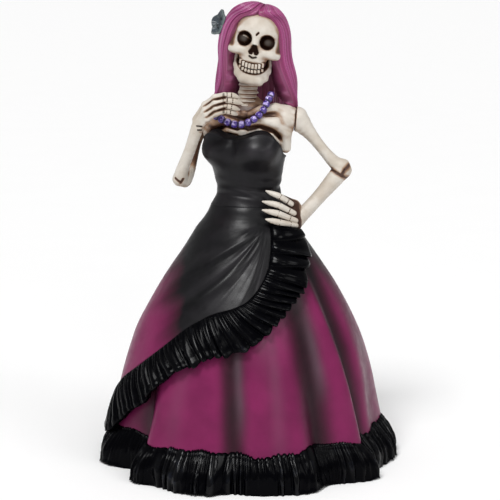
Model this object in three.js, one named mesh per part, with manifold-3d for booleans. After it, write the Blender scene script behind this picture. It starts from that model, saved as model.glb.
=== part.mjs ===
// Papier-mache catrina: a standing skeleton lady in a strapless ruffled ball gown, one hand at her
// collar and the other on her hip. Hollow and solid paper pieces are glued over a wooden dowel
// and bent wires, and the dowel stands in a board that closes the skirt.
// Millimetres, +Z up, origin on the floor at the centre of the footprint, face towards -Y, and her
// left side towards +X.
import * as THREE from "three";
import { mergeVertices } from "three/addons/utils/BufferGeometryUtils.js";
import Module from "manifold-3d";

const wasm = await Module();
wasm.setup();

// Driving dimensions
const GAP = 0.3; // glue line between neighbouring pieces
const CLOTH_GAP = 1; // glue line under a draped layer
const DEPTH_SHARE = 0.9; // the gown's depth over its width
const SKIRT_WALL = 2.4;
const WRAP_WALL = 1.5;
const BOARD_THICKNESS = 5;
const DOWEL_RADIUS = 4;
const DOWEL_TOP = 168;
const DOWEL_SOCKET = 3; // depth of the blind hole in the board
const WIRE_RADIUS = 0.8;
const NECK_WIRE_RADIUS = 1.1;
const LEFT_FINGER_RADIUS = 1.7;
const RIGHT_FINGER_RADIUS = 1.3;
const BEAD_RADIUS = 1.65;
const TORSO_TURN = THREE.MathUtils.degToRad(-15); // the chest is turned to her right
const HEAD_CENTRE = new THREE.Vector3(2.2, -1, 227.5);
const HEAD_LEAN = THREE.MathUtils.degToRad(8); // the crown leans to her left
const HEAD_TURN = THREE.MathUtils.degToRad(-4);

const PAINTS = {
  bone: new THREE.MeshStandardMaterial({ color: 0xdcd0bd, roughness: 0.6 }),
  bone_wash: new THREE.MeshStandardMaterial({ color: 0xb99a72, roughness: 0.65 }),
  black_gown: new THREE.MeshStandardMaterial({ color: 0x26272a, roughness: 0.35 }),
  magenta_skirt: new THREE.MeshStandardMaterial({ color: 0x8a2b60, roughness: 0.45 }),
  pink_hair: new THREE.MeshStandardMaterial({ color: 0xb24f8a, roughness: 0.4 }),
  slate_rose: new THREE.MeshStandardMaterial({ color: 0x4a545c, roughness: 0.5 }),
  purple_beads: new THREE.MeshStandardMaterial({ color: 0x5c3a99, roughness: 0.3 }),
  wood: new THREE.MeshStandardMaterial({ color: 0xa9804f, roughness: 0.8 }),
  steel_wire: new THREE.MeshStandardMaterial({ color: 0x8b8d90, roughness: 0.4, metalness: 0.9 }),
};

const rad = THREE.MathUtils.degToRad;
const vec = (x, y, z) => new THREE.Vector3(x, y, z);
const smooth = THREE.MathUtils.smoothstep;

// ---------------------------------------------------------------------------------------------
// Shape helpers

// Smooth interpolation through rows of [key, value, value, ...] with rising keys.
function track(rows) {
  const slope = (i, k) => {
    const a = rows[Math.max(i - 1, 0)];
    const b = rows[Math.min(i + 1, rows.length - 1)];
    return (b[k] - a[k]) / (b[0] - a[0]);
  };
  return (key) => {
    const x = THREE.MathUtils.clamp(key, rows[0][0], rows.at(-1)[0]);
    const i = Math.min(Math.max(rows.findIndex((row) => row[0] >= x), 1), rows.length - 1);
    const [a, b] = [rows[i - 1], rows[i]];
    const h = b[0] - a[0];
    const t = (x - a[0]) / h;
    return a.slice(1).map((value, k) => {
      const m0 = slope(i - 1, k + 1) * h;
      const m1 = slope(i, k + 1) * h;
      const end = b[k + 1];
      return (
        (2 * t ** 3 - 3 * t ** 2 + 1) * value +
        (t ** 3 - 2 * t ** 2 + t) * m0 +
        (3 * t ** 2 - 2 * t ** 3) * end +
        (t ** 3 - t ** 2) * m1
      );
    });
  };
}

// A closed body from a list of triangles given as triples of Vector3.
function solidOf(triangles) {
  const flat = new Float32Array(triangles.flatMap((tri) => tri.flatMap((p) => p.toArray())));
  const loose = new THREE.BufferGeometry();
  loose.setAttribute("position", new THREE.BufferAttribute(flat, 3));
  return solidFrom(loose);
}

function solidFrom(geometry) {
  const bare = (geometry.index ? geometry.toNonIndexed() : geometry).clone();
  for (const name of Object.keys(bare.attributes)) if (name !== "position") bare.deleteAttribute(name);
  const merged = mergeVertices(bare, 1e-3);
  const solid = new wasm.Manifold(
    new wasm.Mesh({
      numProp: 3,
      vertProperties: merged.attributes.position.array,
      triVerts: new Uint32Array(merged.index.array),
    }),
  );
  if (solid.volume() < 0) throw new Error("a piece is inside out");
  return solid;
}

function geometryOf(solid) {
  const mesh = solid.getMesh();
  const geometry = new THREE.BufferGeometry();
  const xyz = new Float32Array(mesh.numVert * 3);
  for (let i = 0; i < mesh.numVert; i++) {
    xyz.set(mesh.vertProperties.subarray(i * mesh.numProp, i * mesh.numProp + 3), i * 3);
  }
  geometry.setAttribute("position", new THREE.BufferAttribute(xyz, 3));
  geometry.setIndex(new THREE.BufferAttribute(mesh.triVerts, 1));
  geometry.computeVertexNormals();
  return geometry;
}

const quad = (a, b, c, d) => [
  [a, b, c],
  [a, c, d],
];

// Skin over rings of points that turn anticlockwise seen from the last ring, closed by fans.
function loft(rings) {
  const triangles = [];
  const count = rings[0].length;
  for (let i = 0; i + 1 < rings.length; i++) {
    for (let j = 0; j < count; j++) {
      const k = (j + 1) % count;
      triangles.push(...quad(rings[i][j], rings[i][k], rings[i + 1][k], rings[i + 1][j]));
    }
  }
  const middle = (ring) => ring.reduce((sum, p) => sum.add(p), vec(0, 0, 0)).divideScalar(count);
  const [first, last] = [rings[0], rings.at(-1)];
  const [start, end] = [middle(first), middle(last)];
  for (let j = 0; j < count; j++) {
    const k = (j + 1) % count;
    triangles.push([start, first[k], first[j]], [end, last[j], last[k]]);
  }
  return solidOf(triangles);
}

// A wall between an outer and an inner surface, each a function of u and v in 0..1. u runs
// anticlockwise seen from the v = 1 end, and the wall is a ring when closed is true.
function wall(outer, inner, across, along, closed) {
  const triangles = [];
  const grid = (surface) =>
    Array.from({ length: along + 1 }, (_, j) =>
      Array.from({ length: closed ? across : across + 1 }, (_, i) => surface(i / across, j / along)),
    );
  const [out, into] = [grid(outer), grid(inner)];
  const at = (rows, i, j) => rows[j][closed ? i % across : i];
  for (let i = 0; i < across; i++) {
    for (let j = 0; j < along; j++) {
      triangles.push(...quad(at(out, i, j), at(out, i + 1, j), at(out, i + 1, j + 1), at(out, i, j + 1)));
      triangles.push(...quad(at(into, i, j), at(into, i, j + 1), at(into, i + 1, j + 1), at(into, i + 1, j)));
    }
    triangles.push(...quad(at(into, i, 0), at(into, i + 1, 0), at(out, i + 1, 0), at(out, i, 0)));
    const [top, topIn] = [at(out, i, along), at(into, i, along)];
    triangles.push(...quad(top, at(out, i + 1, along), at(into, i + 1, along), topIn));
  }
  for (let j = 0; !closed && j < along; j++) {
    triangles.push(...quad(at(out, 0, j), at(out, 0, j + 1), at(into, 0, j + 1), at(into, 0, j)));
    triangles.push(
      ...quad(at(into, across, j), at(into, across, j + 1), at(out, across, j + 1), at(out, across, j)),
    );
  }
  return solidOf(triangles);
}

// A bar of oval section along stations of [centre, half width, half depth]. The width lies along
// the given side vector and the depth square to it.
function bar(stations, side, sides = 10, grow = 0) {
  const last = stations.length - 1;
  const rings = stations.map(([centre, width, depth], i) => {
    const [before, after] = [stations[Math.max(i - 1, 0)][0], stations[Math.min(i + 1, last)][0]];
    const forward = after.clone().sub(before).normalize();
    const wide = side.clone().addScaledVector(forward, -side.dot(forward)).normalize();
    const deep = forward.clone().cross(wide);
    const end = (i === last ? grow : 0) - (i === 0 ? grow : 0);
    return Array.from({ length: sides }, (_, j) => {
      const turn = (2 * Math.PI * j) / sides;
      return centre
        .clone()
        .addScaledVector(forward, end)
        .addScaledVector(wide, (width + grow) * Math.cos(turn))
        .addScaledVector(deep, (depth + grow) * Math.sin(turn));
    });
  });
  return loft(rings);
}

// A round wire through the points.
function wire(points, radius, steps, sides = 6) {
  const circle = new THREE.Shape();
  circle.absarc(0, 0, radius, 0, 2 * Math.PI);
  const path = new THREE.CatmullRomCurve3(points, false, "centripetal");
  const shape = new THREE.Shape(circle.getSpacedPoints(sides).slice(0, sides));
  return solidFrom(new THREE.ExtrudeGeometry(shape, { steps, extrudePath: path, bevelEnabled: false }));
}

function ellipsoid(centre, rx, ry, rz, around = 16, down = 10) {
  const ball = new THREE.SphereGeometry(1, around, down).scale(rx, ry, rz);
  return solidFrom(ball.translate(centre.x, centre.y, centre.z));
}

function largest(solid) {
  return solid.decompose().reduce((best, body) => (body.volume() > best.volume() ? body : best));
}

const unite = (solids) => solids.reduce((sum, solid) => sum.add(solid));
const cut = (solid, ...tools) => largest(tools.reduce((left, tool) => left.subtract(tool), solid));

// ---------------------------------------------------------------------------------------------
// Gown. Angles run round the vertical axis from 0 at the front to 90 at her left side.

const SKIRT_PROFILE = track([
  [0, 78.5],
  [16, 76],
  [30, 73],
  [52, 68],
  [67, 63],
  [95, 49],
  [121, 32],
  [134, 24.8],
  [140, 21.6],
]);
const SKIRT_FOOT = 2;
const SKIRT_TOP = 140;
// Valleys between the folds: angle, half width in degrees, depth at the hem, height where it ends
const VALLEYS = [
  [-57, 9, 11, 66],
  [-16, 9, 7, 80],
  [31, 9, 11, 112],
  [52, 8, 6, 96],
  [74, 12, 7, 96],
  [118, 10, 8, 110],
  [146, 9, 6, 96],
  [170, 9, 8, 110],
  [-154, 9, 6, 96],
  [-124, 10, 8, 110],
  [-98, 8, 4, 80],
];

function foldDepth(angle, z) {
  return VALLEYS.reduce((sum, [centre, half, depth, top]) => {
    const away = ((angle - centre + 900) % 360) - 180;
    return sum + depth * (1 - smooth(z, 0, top)) * Math.exp(-((away / half) ** 2));
  }, 0);
}

const onOval = (angle, radius, z) =>
  vec(radius * Math.sin(rad(angle)), -DEPTH_SHARE * radius * Math.cos(rad(angle)), z);

const skirtRadius = (angle, z) => SKIRT_PROFILE(z)[0] - foldDepth(angle, z);
const skirtPoint = (angle, z, out) => onOval(angle, skirtRadius(angle, z) + out, z);

function skirtShell() {
  const height = (v) => THREE.MathUtils.lerp(SKIRT_FOOT, SKIRT_TOP, v);
  const surface = (out) => (u, v) => skirtPoint(360 * u, height(v), out);
  return wall(surface(0), surface(-SKIRT_WALL), 48, 6, true);
}

// The board's edge follows the folds at the skirt's foot.
function baseBoard() {
  const inset = -SKIRT_WALL - CLOTH_GAP;
  const rim = Array.from({ length: 48 }, (_, i) => skirtPoint(7.5 * i, BOARD_THICKNESS, inset));
  const ring = (z) => rim.map((p) => p.clone().setZ(z));
  return cut(loft([ring(0), ring(BOARD_THICKNESS)]), armatureDowel(GAP));
}

function armatureDowel(grow = 0) {
  const foot = BOARD_THICKNESS - DOWEL_SOCKET - grow;
  const height = DOWEL_TOP + grow - foot;
  const rod = new THREE.CylinderGeometry(DOWEL_RADIUS + grow, DOWEL_RADIUS + grow, height, 16);
  return solidFrom(rod.rotateX(Math.PI / 2).translate(0, 0, foot + height / 2));
}

const RUFFLE_TOP = 20;
const HEM_FLARE = 5.5; // how far the hem ruffle's foot stands out from the skirt
const RUFFLE_WALL = 2;

function hemRuffle() {
  const pleats = 36;
  const flare = (v) => CLOTH_GAP + (HEM_FLARE - CLOTH_GAP) * (1 - v) ** 1.4;
  const surface = (out) => (u, v) => {
    const pleat = 1.1 * (1 - v) * Math.cos(2 * Math.PI * pleats * u);
    return skirtPoint(360 * u, RUFFLE_TOP * v, flare(v) + out + pleat);
  };
  return wall(surface(RUFFLE_WALL), surface(0), 72, 2, true);
}

// The wrap's edge, as the height of the gathered seam over the angle
const SEAM = track([
  [-206, 138],
  [-198, 124],
  [-188, 109],
  [-176, 93],
  [-163, 76],
  [-148, 58],
  [-130, 45],
  [-108, 40],
  [-84, 43],
  [-68, 57],
  [-46, 74],
  [-26, 89],
  [0, 98],
  [14, 112],
  [24, 127],
]);
const WRAP_FROM = -204;
const WRAP_TO = 23;

function wrapPanel() {
  const surface = (out) => (u, v) => {
    const angle = WRAP_FROM + (WRAP_TO - WRAP_FROM) * u;
    const [low] = SEAM(angle);
    return skirtPoint(angle, low + (SKIRT_TOP - low) * v, CLOTH_GAP + out);
  };
  return wall(surface(WRAP_WALL), surface(0), 34, 5, false);
}

// The gathered strip hangs from the seam. Each row runs from the seam to the free edge.
const STRIP = [
  [24, 129, 72, 126],
  [20, 123, 55, 117],
  [14, 114, 43, 108],
  [6, 104, 31, 98],
  [-2, 98, 18, 89],
  [-12, 94, 4, 78],
  [-24, 90, -9, 71],
  [-36, 84, -24, 65],
  [-48, 73, -38, 58],
  [-62, 62, -52, 42],
  [-76, 50, -66, 30],
  [-90, 42, -84, 22],
  [-110, 40, -108, 20],
  [-130, 45, -133, 25],
  [-148, 58, -156, 39],
  [-163, 76, -174, 59],
  [-176, 93, -190, 78],
  [-188, 109, -206, 96],
  [-198, 122, -219, 112],
  [-203, 130, -227, 125],
];
const STRIP_WALL = 1.2;
const STRIP_SWELL = 2.6; // how far the strip billows over its own thickness
const STRIP_TRACK = track(STRIP.map((row, i) => [i / (STRIP.length - 1), ...row]));

function wrapRuffle() {
  const pleats = 38;
  const surface = (out) => (u, v) => {
    const [seamAngle, seamZ, edgeAngle, edgeZ] = STRIP_TRACK(u);
    const angle = THREE.MathUtils.lerp(edgeAngle, seamAngle, v);
    const z = THREE.MathUtils.lerp(edgeZ, seamZ, v);
    const pleat = 0.7 * (1 - v) * Math.cos(2 * Math.PI * pleats * u);
    const rise = STRIP_WALL + STRIP_SWELL * Math.sin(Math.PI * (0.25 + 0.6 * (1 - v)));
    return skirtPoint(angle, z, 2 * CLOTH_GAP + WRAP_WALL + (out ? rise + pleat : 0));
  };
  return wall((u, v) => surface(true)(1 - u, v), (u, v) => surface(false)(1 - u, v), 76, 2, false);
}

// ---------------------------------------------------------------------------------------------
// Torso. Rows are height, centre x, centre y, half width, half depth.

const CORE = track([
  [128, 0, 0, 23.4, 21],
  [134, 0, 0, 21, 18.8],
  [140, 0, 0, 17.8, 15.8],
  [148, -0.6, 0, 14.8, 11],
  [158, -1, 0, 16.2, 11.5],
  [168, -1.5, 0, 18.6, 12],
  [178, -1, 0, 21.6, 12],
  [186, -0.6, 0.5, 23.8, 11.2],
  [191, -0.6, 1, 23, 9.6],
  [195.5, -1, 1.2, 15, 7],
]);
const CORE_TOP = 195.5;

function corePoint(angle, z, out) {
  const [cx, cy, width, depth] = CORE(z);
  const turn = rad(angle);
  const p = vec((width + out) * Math.sin(turn), -(depth + out) * Math.cos(turn), 0);
  p.applyAxisAngle(vec(0, 0, 1), TORSO_TURN * smooth(z, 135, 165));
  return p.add(vec(cx, cy, z));
}

function torsoCore(grow = 0) {
  const heights = [129, 136, 142, 148, 157, 168, 178, 185, 190, 193.5, CORE_TOP];
  const rings = heights.map((z) => Array.from({ length: 24 }, (_, i) => corePoint(15 * i, z, grow)));
  return loft(rings);
}

const BODICE_FOOT = SKIRT_TOP + GAP;
const BODICE_WALL = 2.4;
const CUP = { angle: 33, height: 172, swell: 7 };

// The neckline rises over each cup, dips between them and falls under the arms.
function necklineHeight(angle) {
  const away = Math.abs(angle);
  return 179.8 + 3.2 * Math.exp(-(((away - 30) / 20) ** 2)) - 9 * smooth(away, 38, 92);
}

function bodiceStand(angle, z) {
  const up = (z - CUP.height) / 8.5;
  const cups = [-CUP.angle, CUP.angle].map((centre) => Math.exp(-(((angle - centre) / 30) ** 2) - up ** 2));
  return BODICE_WALL + CUP.swell * (cups[0] + cups[1]);
}

function bodiceShell() {
  const place = (u) => 360 * u - 180;
  const height = (u, v) => BODICE_FOOT + (necklineHeight(place(u)) - BODICE_FOOT) * v;
  const outer = (u, v) => {
    const z = height(u, v);
    const rim = 1 - 0.75 * smooth(v, 0.9, 1);
    return corePoint(place(u), z, CLOTH_GAP + bodiceStand(place(u), z) * rim);
  };
  const inner = (u, v) => corePoint(place(u), height(u, v), CLOTH_GAP);
  return wall(outer, inner, 32, 7, true);
}

// A raised strip glued on the torso, along stations of [angle, height, half height].
function torsoStrip(stations, rise) {
  const path = track(stations.map((row, i) => [i / (stations.length - 1), ...row]));
  const surface = (height) => (u, v) => {
    const [angle, z, half] = path(u);
    const s = 2 * v - 1;
    return corePoint(angle, z + s * half, GAP + height * Math.sqrt(1.04 - s * s));
  };
  return wall(surface(rise), surface(0), 8, 3, false);
}

// Stations of her left side's strips, as angle, height and half height
const CHEST_STRIPS = {
  clavicle: [[10, 190.5, 1.3], [30, 191, 1.2], [55, 191.2, 1.3], [78, 190.4, 1.6]],
  upper_rib: [[12, 186.6, 1.3], [35, 187, 1.4], [60, 185.7, 1.6], [84, 181.2, 1.8]],
  lower_rib: [[47, 183.2, 1.1], [62, 181, 1.4], [86, 176.4, 1.6]],
};

function chestStrip(stations, side) {
  const mirrored = stations.map(([angle, z, half]) => [side * angle, z, half]);
  return torsoStrip(side > 0 ? mirrored : mirrored.reverse(), 1.3);
}

const sternum = () => torsoStrip([[-7, 187.4, 5], [0, 187.3, 6], [7, 187.4, 5]], 1.4);

// ---------------------------------------------------------------------------------------------
// Neck and head. The skull is modelled upright about its own centre and then set on the neck.

const headMatrix = new THREE.Matrix4()
  .makeTranslation(HEAD_CENTRE)
  .multiply(new THREE.Matrix4().makeRotationY(HEAD_LEAN))
  .multiply(new THREE.Matrix4().makeRotationZ(HEAD_TURN));
const onHead = (x, y, z) => vec(x, y, z).applyMatrix4(headMatrix);
const setOnHead = (solid) => solidFrom(geometryOf(solid).applyMatrix4(headMatrix));

const NECK_PATH = [vec(-1.6, 0.6, 178), vec(-1.7, 0.4, 197), vec(-0.6, 0, 207), vec(1.4, 0.4, 222)];
const neckWire = (grow = 0) => wire(NECK_PATH, NECK_WIRE_RADIUS + grow, 8);

const VERTEBRA_PITCH = 3.7;
const VERTEBRA_PROFILE = [[0, -1.6], [4.1, -1.6], [5.2, -0.6], [5.2, 0.6], [4.1, 1.6], [0, 1.6]];

function neckVertebra(index) {
  const disc = new THREE.LatheGeometry(VERTEBRA_PROFILE.map(([r, h]) => new THREE.Vector2(r, h)), 12);
  disc.rotateX(Math.PI / 2).rotateY(rad(4));
  disc.translate(-1.7 + 0.35 * index, 0.2, 197.7 + VERTEBRA_PITCH * index);
  return cut(solidFrom(disc), neckWire(GAP));
}

// Places of the face in the skull's own upright frame
const EYE = { x: 6.1, y: -14.2, z: 3.1, radius: 3.95 };

// Rows are height, half width, reach to the front and reach to the back.
const FACE_ROWS = [
  [-8.8, 7.6, 14.8, 3],
  [-7, 8.2, 15.2, 4],
  [-4.6, 11.8, 14.2, 6],
  [-2.6, 13.3, 13.6, 7],
  [0.5, 12.6, 13.8, 9],
  [6, 12.2, 14.8, 9],
  [9, 10.5, 14, 8],
];

function ovalRing(z, width, front, back, sides) {
  return Array.from({ length: sides }, (_, i) => {
    const turn = (2 * Math.PI * i) / sides;
    return vec(width * Math.sin(turn), -(Math.cos(turn) > 0 ? front : back) * Math.cos(turn), z);
  });
}

function skullMass(grow = 0) {
  const face = loft(
    FACE_ROWS.map(([z, width, front, back], i) => {
      const end = (i === FACE_ROWS.length - 1 ? grow : 0) - (i === 0 ? grow : 0);
      return ovalRing(z + end, width + grow, front + grow, back + grow, 16);
    }),
  );
  return face.add(ellipsoid(vec(0, 1.2, 6.4), 13 + grow, 15.8 + grow, 13 + grow, 16, 10));
}

function cranium() {
  const hollows = [-1, 1].flatMap((side) => [
    ellipsoid(vec(side * EYE.x, EYE.y, EYE.z), EYE.radius, 5.5, EYE.radius, 12, 8),
    ellipsoid(vec(side * 12, -7, -9.6), 3.8, 7, 4.2, 10, 6),
  ]);
  const nose = new THREE.ConeGeometry(2.7, 5.4, 3).scale(1, 1, 1.4).rotateX(Math.PI / 2);
  nose.translate(0, -14.5, -1.6);
  const carved = cut(skullMass(), ...hollows, solidFrom(nose), upperTeeth(GAP));
  return cut(setOnHead(carved), neckWire(GAP), setOnHead(mandible(GAP)));
}

// Her right half of the jaw from the joint to the chin, as centre, half thickness and half height
const JAW = [
  [vec(-9.6, 0, -6.6), 1.2, 2.6],
  [vec(-9.4, -1.5, -12.4), 1.4, 3],
  [vec(-8.6, -6.5, -16.2), 1.7, 2.9],
  [vec(-5.4, -11.6, -17.2), 2, 2.9],
  [vec(0, -13.4, -17.2), 2.2, 3.1],
];

function mandible(grow = 0) {
  const mirrored = JAW.slice(0, -1).map(([p, thick, tall]) => [vec(-p.x, p.y, p.z), thick, tall]);
  const stations = [...JAW, ...mirrored.reverse()];
  const rings = stations.map(([centre, thick, tall], i) => {
    const before = stations[Math.max(i - 1, 0)][0];
    const after = stations[Math.min(i + 1, stations.length - 1)][0];
    const forward = after.clone().sub(before).normalize();
    const away = vec(centre.x, centre.y + 2, 0);
    const outward = away.addScaledVector(forward, -away.dot(forward)).normalize();
    const up = outward.clone().cross(forward);
    return Array.from({ length: 12 }, (_, j) => {
      const turn = (-2 * Math.PI * j) / 12;
      const p = centre.clone().addScaledVector(outward, (thick + grow) * Math.cos(turn));
      return p.addScaledVector(up, (tall + grow) * Math.sin(turn));
    });
  });
  return loft(rings);
}

// A row of teeth: a curved strip between two heights, whose ends rise in a smile.
function toothRow(low, high, front, grow = 0) {
  const surface = (reach) => (u, v) => {
    const turn = rad(THREE.MathUtils.lerp(-58, 58, u)) * (1 + grow / 9);
    const across = reach - 5.4;
    const z = THREE.MathUtils.lerp(low - grow, high + grow, v) + 2.2 * (1 - Math.cos(turn));
    return vec(across * Math.sin(turn), -5.4 - across * Math.cos(turn), z);
  };
  return wall(surface(front + grow), surface(front - 1.8 - grow), 12, 1, false);
}

const upperTeeth = (grow = 0) => toothRow(-10.8, -8.8, 14.8, grow);
const lowerTeeth = (grow = 0) => toothRow(-13.4, -11.4, 14.6, grow);

// ---------------------------------------------------------------------------------------------
// Hair: a bundle down each side of the face and a fall behind. The side bundles' rows are height,
// half width, front reach, back reach and the angle of the front edge, about the skull's centre.

const HAIR = track([
  [-34, 23, 6, 15, 96],
  [-24, 21.6, 9, 17, 64],
  [-12, 20.2, 11, 18, 54],
  [0, 19, 13, 18.5, 46],
  [8, 18.4, 15, 18.5, 38],
  [14, 16, 15, 17, 20],
  [18, 12.4, 12.4, 13.6, 4],
  [21, 7.6, 8, 8, 3],
  [22.8, 2, 2, 2, 3],
]);
const HAIR_CROWN = 22.8;
const HAIR_WALL = 4;
const SIDE_HAIR_FOOT = -32;
const SIDE_HAIR_BACK = 126; // angle of the bundles' rear edge

function hairPoint(angle, z, out) {
  const [width, front, back] = HAIR(z);
  const turn = rad(angle);
  const near = Math.cos(turn) > 0 ? front : back;
  const x = (width + out * Math.min(1, width / 8)) * Math.sin(turn);
  const y = -(near + out * Math.min(1, near / 8)) * Math.cos(turn);
  return vec(x, y, z + out * smooth(z, 10, HAIR_CROWN));
}

// The hair hangs plumb under the leaning head, so the lean fades out below the chin.
function hangHair(p) {
  const leaned = p.clone().applyMatrix4(headMatrix);
  const plumb = p.clone().applyAxisAngle(vec(0, 0, 1), HEAD_TURN).add(HEAD_CENTRE);
  return leaned.lerp(plumb, 1 - smooth(p.z, -30, 0));
}

function sideHair(side, grow = 0) {
  const spread = grow / rad(20);
  const foot = SIDE_HAIR_FOOT - grow;
  const surface = (out) => (u, v) => {
    const share = side > 0 ? u : 1 - u;
    const z = foot + (HAIR_CROWN - foot) * (1 - (1 - v) ** 1.35);
    const angle = THREE.MathUtils.lerp(HAIR(z)[3] - spread, SIDE_HAIR_BACK + spread, share);
    return hangHair(hairPoint(side * angle, z, out));
  };
  return wall(surface(grow), surface(-HAIR_WALL - grow), 8, 9, false);
}

// Rows are height, centre x, centre y, half width and half depth.
const BACK_HAIR = [
  [164, 2, 18.5, 12, 1.4],
  [172, 2, 19, 17, 3],
  [190, 2, 18.6, 20.5, 3.8],
  [203, 2.4, 15.8, 21.5, 5],
  [215, 2.6, 12.6, 20.5, 6.6],
  [228, 3, 10.4, 18.6, 8.6],
  [238, 4, 8, 15.6, 10],
  [245, 5, 5, 11, 9.6],
  [249, 5.4, 3.4, 5, 5],
];

function backHair(grow = 0) {
  const rings = BACK_HAIR.map(([z, x, y, width, depth]) =>
    ovalRing(z, width + grow, depth + grow, depth + grow, 20).map((p) => p.add(vec(x, y, 0))),
  );
  const neighbours = [setOnHead(skullMass(GAP)), torsoCore(GAP), sideHair(-1, GAP), sideHair(1, GAP)];
  return cut(loft(rings), ...neighbours);
}

// ---------------------------------------------------------------------------------------------
// Rose at her right temple

const ROSE = { centre: vec(-14.8, 3.4, 239), radius: 6.8, petals: 5 };
const ROSE_FACING = vec(-0.86, -0.36, 0.36).normalize();
const roseFrame = new THREE.Quaternion().setFromUnitVectors(vec(0, 0, 1), ROSE_FACING);
const onRose = (x, y, z) => vec(x, y, z).applyQuaternion(roseFrame).add(ROSE.centre);

function rosePetal(index) {
  const middle = (2 * Math.PI * index) / ROSE.petals;
  const surface = (thick) => (u, v) => {
    const turn = middle + rad(THREE.MathUtils.lerp(-33, 33, u));
    const reach = THREE.MathUtils.lerp(2.6, ROSE.radius, v);
    return onRose(reach * Math.cos(turn), reach * Math.sin(turn), thick - 1 + 2.2 * v * v);
  };
  return wall(surface(0), surface(1.2), 5, 3, false);
}

function roseBud() {
  const profile = [[0, -1], [2, -1], [2.1, 1], [2.3, 2.6], [1.4, 3.6], [0, 3.2]];
  const bud = new THREE.LatheGeometry(profile.map(([r, h]) => new THREE.Vector2(r, h)), 12);
  bud.rotateX(Math.PI / 2).applyQuaternion(roseFrame).translate(...ROSE.centre.toArray());
  return solidFrom(bud);
}

// ---------------------------------------------------------------------------------------------
// Arms: bones with flared ends. Stations are centre, half width along Y and half depth.

const ALONG_Y = vec(0, 1, 0);
const ARM_SIDES = 10;

const LEFT_UPPER_ARM = [
  [vec(23.4, -5.6, 188), 5.2, 6.4],
  [vec(26.4, -5.6, 187.4), 5.2, 6.4],
  [vec(30.2, -5.5, 183.4), 4.7, 5.3],
  [vec(34.8, -5.3, 176.2), 4, 3.9],
  [vec(40.4, -5, 169), 4, 3.9],
  [vec(45.6, -4.8, 163.6), 4.4, 5.4],
  [vec(49.4, -4.6, 160.8), 4.2, 6],
];
const LEFT_FOREARM = [
  [vec(50.2, -5, 159), 4, 5.6],
  [vec(45, -5.6, 154.4), 4, 4.6],
  [vec(39.4, -7, 148.4), 3.6, 3.5],
  [vec(33.4, -8.6, 142.4), 3.6, 3.5],
  [vec(28.4, -9.8, 137.6), 4, 4.8],
];
const LEFT_PALM = [
  [vec(28.6, -8.8, 137.4), 2.4, 6.4],
  [vec(26, -12.2, 137.4), 2.2, 8.6],
  [vec(23.2, -15, 138), 2, 8.4],
];
const RIGHT_UPPER_ARM = [
  [vec(-23.6, 5.6, 188), 5.4, 6],
  [vec(-26.4, 5.2, 185.4), 5, 5.2],
  [vec(-28.6, 3.6, 176.6), 3.9, 3.9],
  [vec(-30.8, 0.6, 166), 4, 3.8],
  [vec(-33, -2.2, 157.5), 4.4, 4.2],
  [vec(-33.8, -3.2, 154.2), 3.4, 3.4],
];
const RIGHT_FOREARM = [
  [vec(-38.4, -9.4, 154.4), 3, 3.2],
  [vec(-38, -10, 157.6), 4, 4],
  [vec(-35.4, -13.2, 166.6), 3.7, 3.6],
  [vec(-31.8, -17, 176.4), 3.7, 3.4],
  [vec(-28.4, -20.4, 184.4), 4.2, 3.6],
];
const RIGHT_PALM = [
  [vec(-27.2, -21.4, 187.2), 3, 4.2],
  [vec(-24.6, -25, 193.4), 2.4, 5],
  [vec(-19.6, -28, 197.8), 2, 5.2],
  [vec(-14.8, -29, 199), 1.8, 5.2],
];

const leftUpperArm = (grow) => bar(LEFT_UPPER_ARM, ALONG_Y, ARM_SIDES, grow);
const leftForearm = (grow) => bar(LEFT_FOREARM, ALONG_Y, ARM_SIDES, grow);
const leftPalm = (grow) => bar(LEFT_PALM, vec(0.75, -0.66, 0), ARM_SIDES, grow);
const rightUpperArm = (grow) => bar(RIGHT_UPPER_ARM, ALONG_Y, ARM_SIDES, grow);
const rightForearm = (grow) => bar(RIGHT_FOREARM, ALONG_Y, ARM_SIDES, grow);
const rightPalm = (grow) => bar(RIGHT_PALM, ALONG_Y, ARM_SIDES, grow);

const LEFT_WIRE = [
  vec(15, -5, 187),
  vec(27, -5.5, 186.4),
  vec(35.2, -5.2, 175.4),
  vec(46, -4.8, 161.6),
  vec(44.2, -5.8, 153.6),
  vec(36.6, -7.8, 145.4),
  vec(29.6, -9.4, 138.6),
  vec(25.6, -12.4, 137.4),
];
const RIGHT_WIRE = [
  vec(-15, 5, 187),
  vec(-25.6, 5.2, 185.6),
  vec(-28.6, 3.6, 176.6),
  vec(-32.2, -1.6, 160.4),
  vec(-34.4, -4.8, 156.4),
  vec(-37.2, -9, 157.6),
  vec(-35.6, -12.9, 166),
  vec(-30.4, -18.4, 180),
  vec(-26, -23.4, 191),
];
const leftArmWire = (grow = 0) => wire(LEFT_WIRE, WIRE_RADIUS + grow, 20);
const rightArmWire = (grow = 0) => wire(RIGHT_WIRE, WIRE_RADIUS + grow, 24);

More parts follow.
